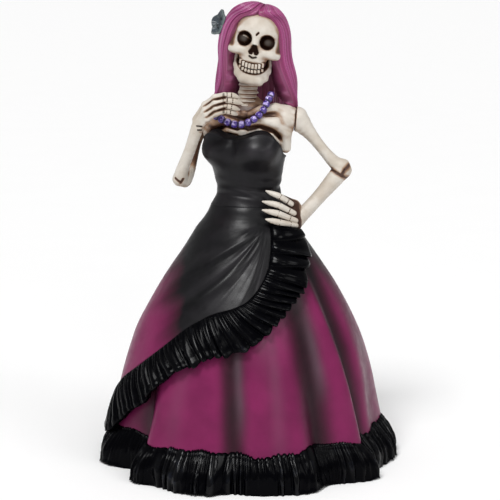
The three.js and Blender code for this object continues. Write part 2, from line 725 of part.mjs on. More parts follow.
// Each finger as root, knuckle and tip
const LEFT_FINGERS = {
  index_finger: [vec(22.4, -16, 145.4), vec(15.8, -18.4, 147.4), vec(8.6, -16, 151.8)],
  middle_finger: [vec(22.4, -16.6, 141), vec(15, -20.8, 142.4), vec(6.8, -18.4, 146.2)],
  ring_finger: [vec(22.6, -16.8, 136.4), vec(15, -22.6, 137.4), vec(6.4, -22.6, 141.6)],
  little_finger: [vec(23, -16.6, 131.8), vec(16, -23.4, 132.8), vec(8.6, -25, 136.8)],
  thumb: [vec(27.6, -5.4, 142.4), vec(26, 1, 144.4), vec(22.6, 6.4, 146)],
};
const RIGHT_FINGERS = {
  index_finger: [vec(-13.2, -28.6, 203), vec(-9.4, -28.4, 202.8), vec(-5.4, -25.8, 201.2)],
  middle_finger: [vec(-13.2, -29.2, 200.2), vec(-8.8, -29, 199.8), vec(-3.4, -25.6, 198)],
  ring_finger: [vec(-13.2, -29.2, 197.4), vec(-9.4, -28.8, 196.6), vec(-5.2, -25.8, 195)],
  little_finger: [vec(-13.2, -28.6, 194.6), vec(-10, -28, 194), vec(-6.4, -25.4, 192.4)],
  thumb: [vec(-21, -22.4, 192), vec(-17.4, -20.6, 194.6), vec(-13.6, -18.8, 195.6)],
};

function finger([root, knuckle, tip], radius) {
  const control = knuckle.clone().multiplyScalar(2).addScaledVector(root, -0.5).addScaledVector(tip, -0.5);
  const curve = new THREE.QuadraticBezierCurve3(root, control, tip);
  const shares = [1, 0.92, 0.98, 0.84, 0.3];
  const stations = shares.map((share, i) => [curve.getPoint(i / 4), radius * share, radius * share]);
  return bar(stations, vec(0, 0, 1), 8);
}

// ---------------------------------------------------------------------------------------------
// Beads in a loop on the chest, each run into the next like a moulded string

const NECKLACE = [
  vec(-19.5, -13.2, 191.6),
  vec(-15, -15.8, 189),
  vec(-9.6, -17.2, 187),
  vec(-4, -17, 186.8),
  vec(1.4, -16, 188.6),
  vec(6, -14.2, 192.6),
  vec(9, -11.4, 197.6),
  vec(11.2, -7, 201.4),
];
const BEAD_PITCH = 2.8;

function beadNecklace() {
  const path = new THREE.CatmullRomCurve3(NECKLACE, false, "centripetal");
  const places = path.getSpacedPoints(Math.round(path.getLength() / BEAD_PITCH));
  return unite(places.map((p) => ellipsoid(p, BEAD_RADIUS, BEAD_RADIUS, BEAD_RADIUS, 8, 4)));
}

// ---------------------------------------------------------------------------------------------
// Assembly

const figure = new THREE.Group();
figure.name = "catrina_figure";

// Adds one piece to the figure, cut clear of its neighbours' grown copies.
function add(name, paint, solid, ...neighbours) {
  const mesh = new THREE.Mesh(geometryOf(cut(solid, ...neighbours)), PAINTS[paint]);
  mesh.name = name;
  figure.add(mesh);
}

add("base_board", "wood", baseBoard());
add("armature_dowel", "wood", armatureDowel());
add("neck_wire", "steel_wire", neckWire());
add("left_arm_wire", "steel_wire", leftArmWire());
add("right_arm_wire", "steel_wire", rightArmWire());

add("skirt_shell", "magenta_skirt", skirtShell());
add("hem_ruffle", "black_gown", hemRuffle());
add("wrap_panel", "black_gown", wrapPanel());
add("wrap_ruffle", "black_gown", wrapRuffle());
add("bodice_shell", "black_gown", bodiceShell(), rightUpperArm(GAP));

const armWires = [leftArmWire(GAP), rightArmWire(GAP)];
add("torso_core", "bone_wash", torsoCore(), armatureDowel(GAP), neckWire(GAP), ...armWires);
for (const [name, stations] of Object.entries(CHEST_STRIPS)) {
  add(`left_${name}`, "bone", chestStrip(stations, 1), leftUpperArm(GAP));
  add(`right_${name}`, "bone", chestStrip(stations, -1), rightUpperArm(GAP));
}
add("sternum", "bone", sternum());

for (let i = 0; i < 3; i++) add(`neck_vertebra_${i + 1}`, "bone", neckVertebra(i));
add("cranium", "bone", cranium());
add("mandible", "bone", setOnHead(mandible()), setOnHead(lowerTeeth(GAP)));
add("upper_teeth", "bone", setOnHead(upperTeeth()));
add("lower_teeth", "bone", setOnHead(lowerTeeth()));

const skullRoom = setOnHead(skullMass(GAP));
add("left_side_hair", "pink_hair", sideHair(1), skullRoom, torsoCore(GAP), leftUpperArm(GAP));
add("right_side_hair", "pink_hair", sideHair(-1), skullRoom, torsoCore(GAP), rightUpperArm(GAP));
add("back_hair", "pink_hair", backHair(), leftUpperArm(GAP), rightUpperArm(GAP));
add("rose_bud", "slate_rose", roseBud(), sideHair(-1, GAP));
for (let i = 0; i < ROSE.petals; i++) {
  add(`rose_petal_${i + 1}`, "slate_rose", rosePetal(i), sideHair(-1, GAP), backHair(GAP));
}

add("left_upper_arm", "bone", leftUpperArm(), torsoCore(GAP), armWires[0]);
add("left_forearm", "bone", leftForearm(), leftUpperArm(GAP), armWires[0]);
add("left_palm", "bone", leftPalm(), leftForearm(GAP), armWires[0]);
add("right_upper_arm", "bone", rightUpperArm(), torsoCore(GAP), armWires[1]);
add("right_forearm", "bone", rightForearm(), rightUpperArm(GAP), armWires[1]);
add("right_palm", "bone", rightPalm(), rightForearm(GAP), armWires[1]);
for (const [name, joints] of Object.entries(LEFT_FINGERS)) {
  add(`left_${name}`, "bone", finger(joints, LEFT_FINGER_RADIUS), leftPalm(GAP), leftForearm(GAP));
}
for (const [name, joints] of Object.entries(RIGHT_FINGERS)) {
  add(`right_${name}`, "bone", finger(joints, RIGHT_FINGER_RADIUS), rightPalm(GAP));
}
add("bead_necklace", "purple_beads", beadNecklace());

export default figure;
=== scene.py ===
"""The catrina figure's looks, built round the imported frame. Lengths are millimetres in the figure's
own frame (+Z up, face towards -Y, her left side towards +X) and become metres as meshes are made."""

import math

import bpy
import numpy as np
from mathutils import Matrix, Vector


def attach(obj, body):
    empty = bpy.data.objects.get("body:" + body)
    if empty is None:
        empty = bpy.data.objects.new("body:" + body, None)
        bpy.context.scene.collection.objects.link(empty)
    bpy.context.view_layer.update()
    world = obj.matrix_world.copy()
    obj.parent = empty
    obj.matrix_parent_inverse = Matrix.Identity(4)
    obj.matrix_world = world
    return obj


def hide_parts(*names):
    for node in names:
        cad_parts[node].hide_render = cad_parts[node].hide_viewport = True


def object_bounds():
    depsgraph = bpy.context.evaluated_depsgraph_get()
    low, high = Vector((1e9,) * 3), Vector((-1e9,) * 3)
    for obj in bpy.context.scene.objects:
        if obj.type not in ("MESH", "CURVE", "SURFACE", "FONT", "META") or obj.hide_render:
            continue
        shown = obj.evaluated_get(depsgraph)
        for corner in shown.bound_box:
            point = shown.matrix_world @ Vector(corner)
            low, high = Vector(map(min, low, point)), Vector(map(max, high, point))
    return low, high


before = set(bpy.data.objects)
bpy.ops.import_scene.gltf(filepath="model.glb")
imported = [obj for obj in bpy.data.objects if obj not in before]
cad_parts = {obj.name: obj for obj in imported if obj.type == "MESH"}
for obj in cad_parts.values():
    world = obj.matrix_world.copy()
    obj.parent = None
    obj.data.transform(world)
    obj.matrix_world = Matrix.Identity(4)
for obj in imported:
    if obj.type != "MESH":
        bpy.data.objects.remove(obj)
CAD_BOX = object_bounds()

DRAWN_HEIGHT = 250.35  # the height, board to hair, that the lengths below are drawn for
MM = (CAD_BOX[1][2] - CAD_BOX[0][2]) / DRAWN_HEIGHT


# ----------------------------------------------------------------------------------------------
# Numbers


def smooth(x, low, high):
    t = np.clip((np.asarray(x, float) - low) / (high - low), 0, 1)
    return t * t * (3 - 2 * t)


def hill(x, centre, half):
    """A rounded bump, 1 at the centre and well down at half either side of it."""
    return np.exp(-(((x - centre) / half) ** 2))


def pairs(row):
    return zip(row[:-1], row[1:])


def track(rows):
    """Smooth interpolation through rows of [key, value, ...]; gives one array per value."""
    table = np.array(rows, float)
    keys, values = table[:, 0], table[:, 1:]
    slopes = np.gradient(values, keys, axis=0)

    def at(key):
        x = np.clip(np.asarray(key, float), keys[0], keys[-1])
        i = np.clip(np.searchsorted(keys, x) - 1, 0, len(keys) - 2)
        h = keys[i + 1] - keys[i]
        t = (x - keys[i]) / h
        result = []
        for k in range(values.shape[1]):
            a, b = values[i, k], values[i + 1, k]
            ma, mb = slopes[i, k] * h, slopes[i + 1, k] * h
            low = (2 * t**3 - 3 * t**2 + 1) * a + (t**3 - 2 * t**2 + t) * ma
            result.append(low + (3 * t**2 - 2 * t**3) * b + (t**3 - t**2) * mb)
        return result if len(result) > 1 else result[0]

    return at


def wobble(x, seed, octaves=3):
    """Smooth repeatable noise in -1..1 along one coordinate."""
    rng = np.random.default_rng(seed)
    total = np.zeros_like(np.asarray(x, float))
    for octave in range(octaves):
        for _ in range(3):
            rate = (0.6 + rng.random()) * 2**octave
            total += np.sin(rate * x + rng.random() * 2 * math.pi) / 2**octave
    return total / (3 * (2 - 0.5 ** (octaves - 1)))


def wrapped(angle):
    return (angle + 180) % 360 - 180


def resampled(stations, count):
    """Evenly spaced rows along a smooth run through stations of (x, y, z, ...)."""
    rows = np.array(stations, float)
    steps = np.concatenate([[0], np.cumsum(np.linalg.norm(np.diff(rows[:, :3], axis=0), axis=1))])
    at = track(np.column_stack([steps, rows]))
    return np.stack(at(np.linspace(0, steps[-1], count)), -1)


# ----------------------------------------------------------------------------------------------
# Meshes


def grid_faces(columns, rows, first, closed, flip):
    """Quads over rows of points numbered row by row from first."""
    i = np.arange(columns if closed else columns - 1)
    j = np.arange(rows - 1)
    i, j = (a.ravel() for a in np.meshgrid(i, j))
    k = (i + 1) % columns
    quads = np.stack([j * columns + i, j * columns + k, (j + 1) * columns + k, (j + 1) * columns + i], 1)
    quads = quads + first
    return quads[:, ::-1] if flip else quads


def rim_faces(outer, inner, closed):
    """Quads between two runs of point numbers."""
    a, b = np.asarray(outer), np.asarray(inner)
    if closed:
        a, b = np.append(a, a[0]), np.append(b, b[0])
    return np.stack([b[:-1], b[1:], a[1:], a[:-1]], 1)


def shell(outer, inner, closed):
    """A closed wall between two grids of points, rows upwards and columns anticlockwise."""
    rows, columns = outer.shape[:2]
    count = rows * columns
    points = np.concatenate([outer.reshape(-1, 3), inner.reshape(-1, 3)])
    number = np.arange(count).reshape(rows, columns)
    faces = [
        grid_faces(columns, rows, 0, closed, False),
        grid_faces(columns, rows, count, closed, True),
        rim_faces(number[0], number[0] + count, closed),
        rim_faces(number[-1], number[-1] + count, closed)[:, ::-1],
    ]
    if not closed:
        faces.append(rim_faces(number[:, 0], number[:, 0] + count, False)[:, ::-1])
        faces.append(rim_faces(number[:, -1], number[:, -1] + count, False))
    return points, np.concatenate(faces)


def capped(body):
    """Rings of points, one row each, closed by a fan at each end."""
    rows, columns = body.shape[:2]
    points = np.concatenate([body.reshape(-1, 3), body[0].mean(0)[None], body[-1].mean(0)[None]])
    quads = grid_faces(columns, rows, 0, True, False)
    i = np.arange(columns)
    k = (i + 1) % columns
    top = (rows - 1) * columns
    start = np.stack([np.full(columns, rows * columns), k, i], 1)
    end = np.stack([np.full(columns, rows * columns + 1), top + i, top + k], 1)
    return points, [*quads.tolist(), *start.tolist(), *end.tolist()]


def closed_grid(columns, rows, whole=2 * math.pi):
    """Angles round a closed run of columns, and 0 to 1 up the rows."""
    return np.meshgrid(np.arange(columns) * whole / columns, np.linspace(0, 1, rows))


def open_grid(columns, rows, low=0.0, high=1.0):
    """low to high along the columns, and 0 to 1 up the rows."""
    return np.meshgrid(np.linspace(low, high, columns), np.linspace(0, 1, rows))


def walls(outer, inner=None):
    """An attribute of a shell: values on its outer wall, and the same or others on its inner."""
    inner = outer if inner is None else np.broadcast_to(inner, outer.shape)
    return np.concatenate([outer.ravel(), inner.ravel()])


def joined(parts):
    """One mesh from several (points, faces) pairs."""
    points, faces, first = [], [], 0
    for part_points, part_faces in parts:
        points.append(part_points)
        faces += [[v + first for v in face] for face in np.asarray(part_faces, object).tolist()]
        first += len(part_points)
    return np.concatenate(points), faces


def add_object(name, data):
    made = bpy.data.objects.new(name, data)
    bpy.context.scene.collection.objects.link(made)
    return made


def make_piece(name, points, faces, material, nodes, slot, **attributes):
    """An object in place of the named CAD nodes, with a float attribute per keyword."""
    mesh = bpy.data.meshes.new(name)
    mesh.from_pydata((np.asarray(points) * MM).tolist(), [], np.asarray(faces, object).tolist())
    for key, values in attributes.items():
        data = mesh.attributes.new(key, "FLOAT", "POINT")
        data.data.foreach_set("value", np.ascontiguousarray(values, dtype=np.float32))
    mesh.polygons.foreach_set("use_smooth", [True] * len(mesh.polygons))
    mesh.materials.append(material)
    piece = add_object(name, mesh)
    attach(piece, "root")
    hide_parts(*nodes)


# ----------------------------------------------------------------------------------------------
# Modelled forms: a field that is negative inside, turned into a mesh by surface nets


def length(v):
    return np.sqrt((v * v).sum(-1))


def blob(p, centre, radii):
    radii = np.asarray(radii, float)
    v = (p - np.asarray(centre, float)) / radii
    k0 = length(v)
    return k0 * (k0 - 1) / np.maximum(length(v / radii), 1e-9)


def limb(p, a, b, ra, rb):
    a, b = np.asarray(a, float), np.asarray(b, float)
    along = b - a
    t = np.clip(((p - a) @ along) / (along @ along), 0, 1)
    return length(p - a - t[..., None] * along) - (ra + (rb - ra) * t)


def melt(a, b, k):
    """Smooth union."""
    h = np.maximum(k - np.abs(a - b), 0) / k
    return np.minimum(a, b) - h * h * k / 4


def carve(a, b, k):
    """a with b cut away, with a rounded edge."""
    return -melt(-a, b, k)


def run(p, stations, count=12):
    """A smooth limb through stations of (x, y, z, radius)."""
    return chain(p, resampled(stations, count), 0.15)


def chain(p, stations, k):
    """Straight limbs through stations of (x, y, z, radius)."""
    field = None
    for a, b in pairs(stations):
        part = limb(p, a[:3], b[:3], a[3], b[3])
        field = part if field is None else melt(field, part, k)
    return field


def melted(field, parts):
    """field with each (part, k) melted on in turn."""
    for part, k in parts:
        field = melt(field, part, k)
    return field


def grooved(field, p, lines, radius, k):
    """field with a shallow groove cut along each line of places."""
    for line in lines:
        for a, b in pairs(line):
            field = carve(field, limb(p, a, b, radius, radius), k)
    return field


def surface_nets(values, low, step):
    inside = values < 0
    cells = tuple(n - 1 for n in values.shape)
    corners = [(i, j, k) for i in (0, 1) for j in (0, 1) for k in (0, 1)]

    def shifted(array, c):
        return array[tuple(slice(c[a], c[a] + cells[a]) for a in range(3))]

    count = sum(shifted(inside, c).astype(np.int8) for c in corners)
    active = (count > 0) & (count < 8)
    number = np.full(cells, -1)
    number[active] = np.arange(active.sum())
    total = np.zeros((active.sum(), 3))
    hits = np.zeros(active.sum())
    for axis in range(3):
        for c in corners:
            if c[axis]:
                continue
            d = tuple(c[a] + (a == axis) for a in range(3))
            start, end = shifted(values, c)[active], shifted(values, d)[active]
            crossing = (start < 0) != (end < 0)
            share = np.where(crossing, start / np.where(crossing, start - end, 1), 0)
            point = np.array(c, float) + share[:, None] * np.eye(3)[axis]
            total += np.where(crossing[:, None], point, 0)
            hits += crossing
    points = low + step * (np.argwhere(active) + total / hits[:, None])
    faces = []
    for axis in range(3):
        u, v = (axis + 1) % 3, (axis + 2) % 3
        near = [slice(1, n - 1) for n in values.shape]
        near[axis] = slice(0, values.shape[axis] - 1)
        far = list(near)
        far[axis] = slice(1, values.shape[axis])
        first, second = inside[tuple(near)], inside[tuple(far)]
        at = np.argwhere(first != second)
        out = first[tuple(at.T)]
        at = at + np.array([s.start for s in near])
        du, dv = np.eye(3, dtype=int)[u], np.eye(3, dtype=int)[v]
        quad = [number[tuple((at - a * du - b * dv).T)] for a, b in ((0, 0), (1, 0), (1, 1), (0, 1))]
        quad = np.stack(quad, 1)
        faces.append(np.where(out[:, None], quad, quad[:, ::-1]))
    return points, np.concatenate(faces)


def modelled(field, low, high, step):
    """(points, faces, antiquing and painted shade) of a field over a box, on a grid of that step."""
    low, high = np.asarray(low, float), np.asarray(high, float)
    axes = [np.arange(a, b + step, step) for a, b in zip(low, high)]
    values = np.empty([len(a) for a in axes])
    for i, x in enumerate(axes[0]):
        y, z = np.meshgrid(axes[1], axes[2], indexing="ij")
        values[i] = field(np.stack([np.full_like(y, x), y, z], -1))
    points, faces = surface_nets(values, low, step)
    return points, faces, hollow(field, points)


HOLLOW_REACHES = (0.5, 1.0, 2.0, 3.2)  # how far out from the surface other surface is looked for
SLOPE_STEP = 0.15
# painted shade on surfaces that look down
UNDERSIDE_SHADE = 0.26


def hollow(field, points):
    """How much each point sits in a hollow (antiquing) or looks down (painted shade), 0 to 1 and a little
    over.
    """
    offsets = np.eye(3) * SLOPE_STEP
    slope = np.stack([field(points + o) - field(points - o) for o in offsets], -1)
    normal = slope / np.maximum(length(slope), 1e-9)[..., None]
    wash = np.zeros(len(points))
    for reach in HOLLOW_REACHES:
        wash += np.clip(1 - field(points + normal * reach) / reach, 0, 1)
    return wash / len(HOLLOW_REACHES) + UNDERSIDE_SHADE * smooth(normal[:, 2], -0.1, -0.9)


def near_lines(points, lines, width):
    """1 on any of the painted lines, falling to 0 at that width."""
    mark = np.zeros(len(points))
    for line in lines:
        for a, b in pairs(line):
            mark = np.maximum(mark, 1 - smooth(limb(points, a, b, 0, 0), width * 0.45, width))
    return mark


# ----------------------------------------------------------------------------------------------
# Paints


def linear(hex_colour):
    channels = [int(hex_colour[i : i + 2], 16) / 255 for i in (0, 2, 4)]
    return (*[c / 12.92 if c <= 0.04045 else ((c + 0.055) / 1.055) ** 2.4 for c in channels], 1.0)


class Paint:
    """A painted surface: a Principled shader and short calls for the nodes that feed it."""

    def __init__(self, name, roughness, coat=0.0, coat_roughness=0.2, metallic=0.0):
        self.material = bpy.data.materials.new(name)
        self.material.use_nodes = True
        self.tree = self.material.node_tree
        self.shader = self.tree.nodes["Principled BSDF"]
        self.shader.inputs["Roughness"].default_value = roughness
        self.shader.inputs["Coat Weight"].default_value = coat
        self.shader.inputs["Coat Roughness"].default_value = coat_roughness
        self.shader.inputs["Metallic"].default_value = metallic
        self.place = self.node("ShaderNodeTexCoord").outputs["Object"]

    def node(self, kind, **settings):
        node = self.tree.nodes.new(kind)
        for key, value in settings.items():
            setattr(node, key, value)
        return node

    def link(self, source, socket):
        """Feeds a socket from another one, or sets it to a number or a hex colour."""
        if isinstance(source, bpy.types.NodeSocket):
            self.tree.links.new(source, socket)
        else:
            socket.default_value = linear(source) if isinstance(source, str) else source

    def attribute(self, name):
        return self.node("ShaderNodeAttribute", attribute_name=name).outputs["Fac"]

    def stretched(self, scale):
        mapping = self.node("ShaderNodeMapping")
        mapping.inputs["Scale"].default_value = scale
        self.link(self.place, mapping.inputs["Vector"])
        return mapping.outputs["Vector"]

    def noise(self, scale, detail=3.0, place=None):
        node = self.node("ShaderNodeTexNoise")
        node.inputs["Scale"].default_value = scale
        node.inputs["Detail"].default_value = detail
        self.link(place or self.place, node.inputs["Vector"])
        return node.outputs["Fac"]

    def spread(self, source, low, high, to_low=0.0, to_high=1.0):
        node = self.node("ShaderNodeMapRange", interpolation_type="SMOOTHSTEP")
        self.link(source, node.inputs["Value"])
        for key, value in zip(("From Min", "From Max", "To Min", "To Max"), (low, high, to_low, to_high)):
            node.inputs[key].default_value = value
        return node.outputs["Result"]

    def ramp(self, name, *limits):
        """An attribute spread between two limits, to 0..1 or to two more."""
        return self.spread(self.attribute(name), *limits)

    def cloud(self, scale, detail, *limits):
        """Noise spread between two limits, to 0..1 or to two more."""
        return self.spread(self.noise(scale, detail), *limits)

    def maths(self, operation, a, b):
        node = self.node("ShaderNodeMath", operation=operation)
        self.link(a, node.inputs[0])
        self.link(b, node.inputs[1])
        return node.outputs["Value"]

    def mix(self, share, a, b):
        node = self.node("ShaderNodeMix", data_type="RGBA")
        self.link(share, node.inputs["Factor"])
        self.link(a, node.inputs[6])  # 6, 7 and the output 2 are the node's colour sockets
        self.link(b, node.inputs[7])
        return node.outputs[2]

    def bump(self, height, depth, under=None):
        node = self.node("ShaderNodeBump")
        node.inputs["Strength"].default_value = 1.0
        node.inputs["Distance"].default_value = depth * 0.001
        self.link(height, node.inputs["Height"])
        if under:
            self.link(under, node.inputs["Normal"])
        return node.outputs["Normal"]

    def finish(self, colour, normal=None, roughness=None):
        self.link(colour, self.shader.inputs["Base Color"])
        if normal:
            self.link(normal, self.shader.inputs["Normal"])
        if roughness:
            self.link(roughness, self.shader.inputs["Roughness"])
        return self.material


def bone_paint():
    """Ivory paint over gesso, browned by antiquing in the hollows and by painted shade, with dark painted
    lines.
    """
    paint = Paint("bone_paint", 0.46, coat_roughness=0.35)
    ivory = paint.mix(paint.cloud(90, 4, 0.38, 0.66), "CDC6BC", "BBB0A2")
    grain = paint.noise(900, 5)
    # the wash attribute holds antiquing in hollows and painted shade together
    wash = paint.attribute("wash")
    depth = paint.maths("ADD", wash, paint.maths("MULTIPLY", paint.noise(260, 4), 0.28))
    tan = paint.mix(paint.spread(depth, 0.24, 0.62), ivory, "94745A")
    brown = paint.mix(paint.spread(depth, 0.52, 0.88), tan, "4A2E20")
    dark = paint.mix(paint.attribute("line"), brown, "1E0F0A")
    speck = paint.mix(paint.spread(grain, 0.66, 0.74, 0, 0.35), dark, "A58462")
    normal = paint.bump(grain, 0.03, paint.bump(paint.noise(160, 4), 0.12))
    for socket, clean in (("Specular IOR Level", 0.45), ("Coat Weight", 0.12)):
        paint.link(paint.ramp("line", 0, 0.9, clean, 0.02), paint.shader.inputs[socket])
    return paint.finish(speck, normal, paint.cloud(300, 3, 0.3, 0.7, 0.4, 0.55))


def gown_paint():
    """Black lacquer airbrushed over magenta. The magenta attribute says how much magenta shows
    and the sheen attribute where a painted grey highlight lies over it."""
    paint = Paint("gown_paint", 0.36, coat=0.07, coat_roughness=0.24)
    paint.shader.inputs["Specular IOR Level"].default_value = 0.14
    cloud = paint.maths("MULTIPLY", paint.maths("SUBTRACT", paint.noise(70, 4), 0.5), 0.15)
    share = paint.maths("ADD", paint.attribute("magenta"), cloud)
    tone = paint.mix(paint.cloud(45, 3, 0.35, 0.65), "77204F", "6A1B46")
    black = paint.mix(paint.cloud(120, 4, 0.3, 0.7), "08080A", "121114")
    plum = paint.mix(paint.spread(share, 0.0, 0.26), black, "30121F")
    colour = paint.mix(paint.spread(share, 0.16, 0.88), plum, tone)
    # painted grey highlight, where the sheen attribute says
    highlighted = paint.mix(paint.attribute("sheen"), colour, "6C676D")
    grain = paint.bump(paint.noise(1100, 4), 0.012, paint.bump(paint.noise(110, 4), 0.14))
    return paint.finish(highlighted, grain, paint.cloud(200, 4, 0.3, 0.7, 0.32, 0.44))


def ruffle_paint():
    """Gloss black, with a faint painted blue-grey highlight on the crests."""
    paint = Paint("ruffle_paint", 0.26, coat_roughness=0.12)
    paint.shader.inputs["Specular IOR Level"].default_value = 0.03
    gloss = paint.ramp("crest", 0.5, 0.95, 0.03, 0.3)
    paint.link(gloss, paint.shader.inputs["Coat Weight"])
    # painted blue-grey highlight on the crests, broken up by noise
    crest = paint.ramp("crest", 0.6, 1.0, 0.0, 0.7)
    crest_highlight = paint.maths("MULTIPLY", crest, paint.cloud(200, 4, 0.48, 0.72))
    colour = paint.mix(crest_highlight, "010103", "161922")
    grain = paint.bump(paint.noise(1000, 4), 0.012, paint.bump(paint.noise(180, 4), 0.2))
    return paint.finish(colour, grain, paint.cloud(260, 4, 0.3, 0.7, 0.16, 0.34))


def hair_paint():
    """Pink-magenta strands with painted highlights on ridges and streaks, painted wine-coloured shade in
    the grooves and painted brown shade near the face. The flow attribute counts hairs across the locks."""
    paint = Paint("hair_paint", 0.34, coat=0.34, coat_roughness=0.12)
    paint.shader.inputs["Specular IOR Level"].default_value = 0.3
    hairs = paint.node("ShaderNodeTexNoise", noise_dimensions="1D")
    hairs.inputs["Scale"].default_value = 1.0
    hairs.inputs["Detail"].default_value = 5.0
    paint.link(paint.attribute("flow"), hairs.inputs["W"])
    hair = hairs.outputs["Fac"]
    tone = paint.mix(paint.spread(hair, 0.35, 0.65), "822C5A", "9C3C74")
    # painted highlight on the strand ridges
    ridge_highlight = paint.mix(paint.ramp("strand", 0.6, 0.95, 0, 0.6), tone, "B05C94")
    # painted shade in the grooves between strands
    groove_shade = paint.mix(paint.ramp("strand", 0.55, 0.12), ridge_highlight, "561A3B")
    # painted highlight streaks along the hair
    streak = paint.mix(paint.spread(hair, 0.64, 0.72, 0, 0.65), groove_shade, "DCAAC8")
    # painted brown shade, where the shade attribute says
    umber = paint.mix(paint.spread(hair, 0.42, 0.6), "5A3430", "8C4862")
    shade = paint.mix(paint.attribute("shade"), streak, umber)
    normal = paint.bump(hair, 0.35, paint.bump(paint.noise(160, 3), 0.08))
    return paint.finish(shade, normal, paint.cloud(220, 3, 0.3, 0.7, 0.28, 0.42))


def rose_paint():
    paint = Paint("rose_paint", 0.45, coat=0.15, coat_roughness=0.3)
    tone = paint.mix(paint.cloud(160, 4, 0.35, 0.7), "303A42", "414D55")
    colour = paint.mix(paint.ramp("wash", 0.35, 0.85), tone, "1C2226")
    tip = paint.mix(paint.attribute("tip"), colour, "7C8A84")
    return paint.finish(tip, paint.bump(paint.noise(500, 4), 0.05))


def bead_paint():
    """Purple with a painted lilac highlight, broken up by noise, on the side of each bead towards the
    light.
    """
    paint = Paint("bead_paint", 0.28, coat=0.5, coat_roughness=0.12)
    share = paint.maths("MULTIPLY", paint.cloud(520, 3, 0.46, 0.62), paint.attribute("front"))
    colour = paint.mix(share, "3C2180", "BCACE2")
    # painted shade where one bead meets the next
    cut = paint.mix(paint.attribute("groove_shade"), colour, "1F1238")
    return paint.finish(cut, paint.bump(paint.noise(800, 3), 0.04))


def wood_paint():
    paint = Paint("wood_grain", 0.75)
    rings = paint.noise(30, 5, paint.stretched((8.0, 8.0, 0.6)))
    colour = paint.mix(paint.spread(rings, 0.35, 0.65), "B98F5C", "8F6739")
    return paint.finish(colour, paint.bump(rings, 0.2))


def wire_paint():
    paint = Paint("drawn_wire", 0.35, metallic=1.0)
    streaks = paint.noise(900, 3)
    return paint.finish(paint.mix(streaks, "9A9CA0", "6F7175"), paint.bump(streaks, 0.01))


def floor_paint():
    paint = Paint("floor_paint", 0.8)
    grain = paint.noise(12, 3)
    return paint.finish(paint.mix(grain, "FFFFFF", "FDFDFD"))


BONE = bone_paint()
GOWN = gown_paint()
RUFFLE = ruffle_paint()
HAIR_PAINT = hair_paint()
ROSE = rose_paint()
BEADS = bead_paint()
WOOD = wood_paint()
WIRE = wire_paint()
FLOOR = floor_paint()


def make_bones(name, mesh, nodes, wash, line, slot="bone_paper"):
    """A bone-painted piece from (points, faces), with its antiquing, painted shade and painted lines."""
    make_piece(name, *mesh, BONE, nodes, slot, wash=wash, line=line)


# ----------------------------------------------------------------------------------------------
# Gown. Angles run round the vertical axis, 0 at the front and 90 at her left side.

DEPTH_SHARE = 0.9
SKIRT_PROFILE = track([
    [0, 78.5], [16, 76], [30, 73], [52, 68], [67, 63], [95, 49], [121, 32], [134, 24.2],
    [140, 20.6], [146, 18.2],
])
# Valleys of the underskirt: angle at the hem, angle higher up, half width towards her right and
# towards her left, depth at the hem, height where the valley ends, share of black airbrushed in it
VALLEYS = [
    [-56, -50, 14, 5.5, 11, 78, 0.7],
    [-7, -9, 4.5, 7, 5.5, 96, 0.8],
    [33, 28.5, 8.5, 8, 9, 122, 0.84],
    [58, 51, 3.4, 8, 7.5, 126, 0.84],
    [76, 78, 11, 12, 6, 104, 0.45],
    [118, 112, 10, 10, 8, 112, 0.8],
    [146, 142, 9, 9, 6, 100, 0.7],
    [170, 172, 9, 10, 8, 112, 0.8],
    [-154, -150, 9, 9, 6, 100, 0.7],
    [-124, -120, 10, 10, 8, 112, 0.8],
    [-98, -96, 8, 8, 4, 84, 0.5],
]


def from_valley(angle, z, foot, head, top):
    """Angle away from the middle of a valley that leans from foot to head."""
    return wrapped(angle - (foot + (head - foot) * smooth(z, 5, top * 0.8)))


def fold_depth(angle, z):
    total = np.zeros(np.broadcast(angle, z).shape)
    for foot, head, right, left, depth, top, _ in VALLEYS:
        away = from_valley(angle, z, foot, head, top)
        shape = hill(away, 0, np.where(away < 0, right, left)) * (1 - smooth(z, top * 0.25, top))
        total = total + depth * shape * (0.55 + 0.45 * (1 - smooth(z, 0, top)))
    return total


def on_oval(angle, radius, z):
    turn = np.radians(angle)
    x, y = radius * np.sin(turn), -DEPTH_SHARE * radius * np.cos(turn)
    return np.stack(np.broadcast_arrays(x, y, z), -1)


def skirt_radius(angle, z):
    ripple = 0.35 * np.sin(np.radians(angle * 14) + 1.3) * (1 - smooth(z, 20, 110))
    return SKIRT_PROFILE(z) - fold_depth(angle, z) + ripple


def skirt_point(angle, z, out):
    return on_oval(angle, skirt_radius(angle, z) + out, z)


SKIRT_FOOT = 2.0
SKIRT_ROWS = 100
SKIRT_COLUMNS = 480
SKIRT_WALL = 2.4
WAIST = 140.0
WAIST_TOP = 142.5  # top edge of the wrap, feathered onto the bodice


def dark_folds(angle, z):
    """How much black is airbrushed into the valleys, plus painted shade on one fine crease, 0 to 1."""
    total = np.zeros(np.broadcast(angle, z).shape)
    for foot, head, right, left, _, top, black in VALLEYS:
        away = from_valley(angle, z, foot, head, top)
        width = np.where(away < 0, right + 2, left + 1) * (0.85 + 0.3 * smooth(z, 20, 95))
        total = np.maximum(total, black * hill(away, 0, width))
    # painted shade along a fine crease at 8 degrees, which the surface doesn't have
    dark_line = 0.22 * hill(angle, 8, 1.4) * smooth(z, 4, 30)
    return total + dark_line


# Painted grey highlights up the underskirt: angle at the foot, angle higher up, half width,
# strength, lowest and highest height
SKIRT_HIGHLIGHTS = [
    [-4.0, -6.0, 2.2, 0.3, 32, 76],
    [36.0, 34.0, 2.8, 0.32, 48, 84],
    [12, 11, 3.2, 0.16, 20, 84],
    [-34, -32, 4.5, 0.12, 24, 68],
    [54.0, 47.5, 0.9, 0.3, 30, 100],
]


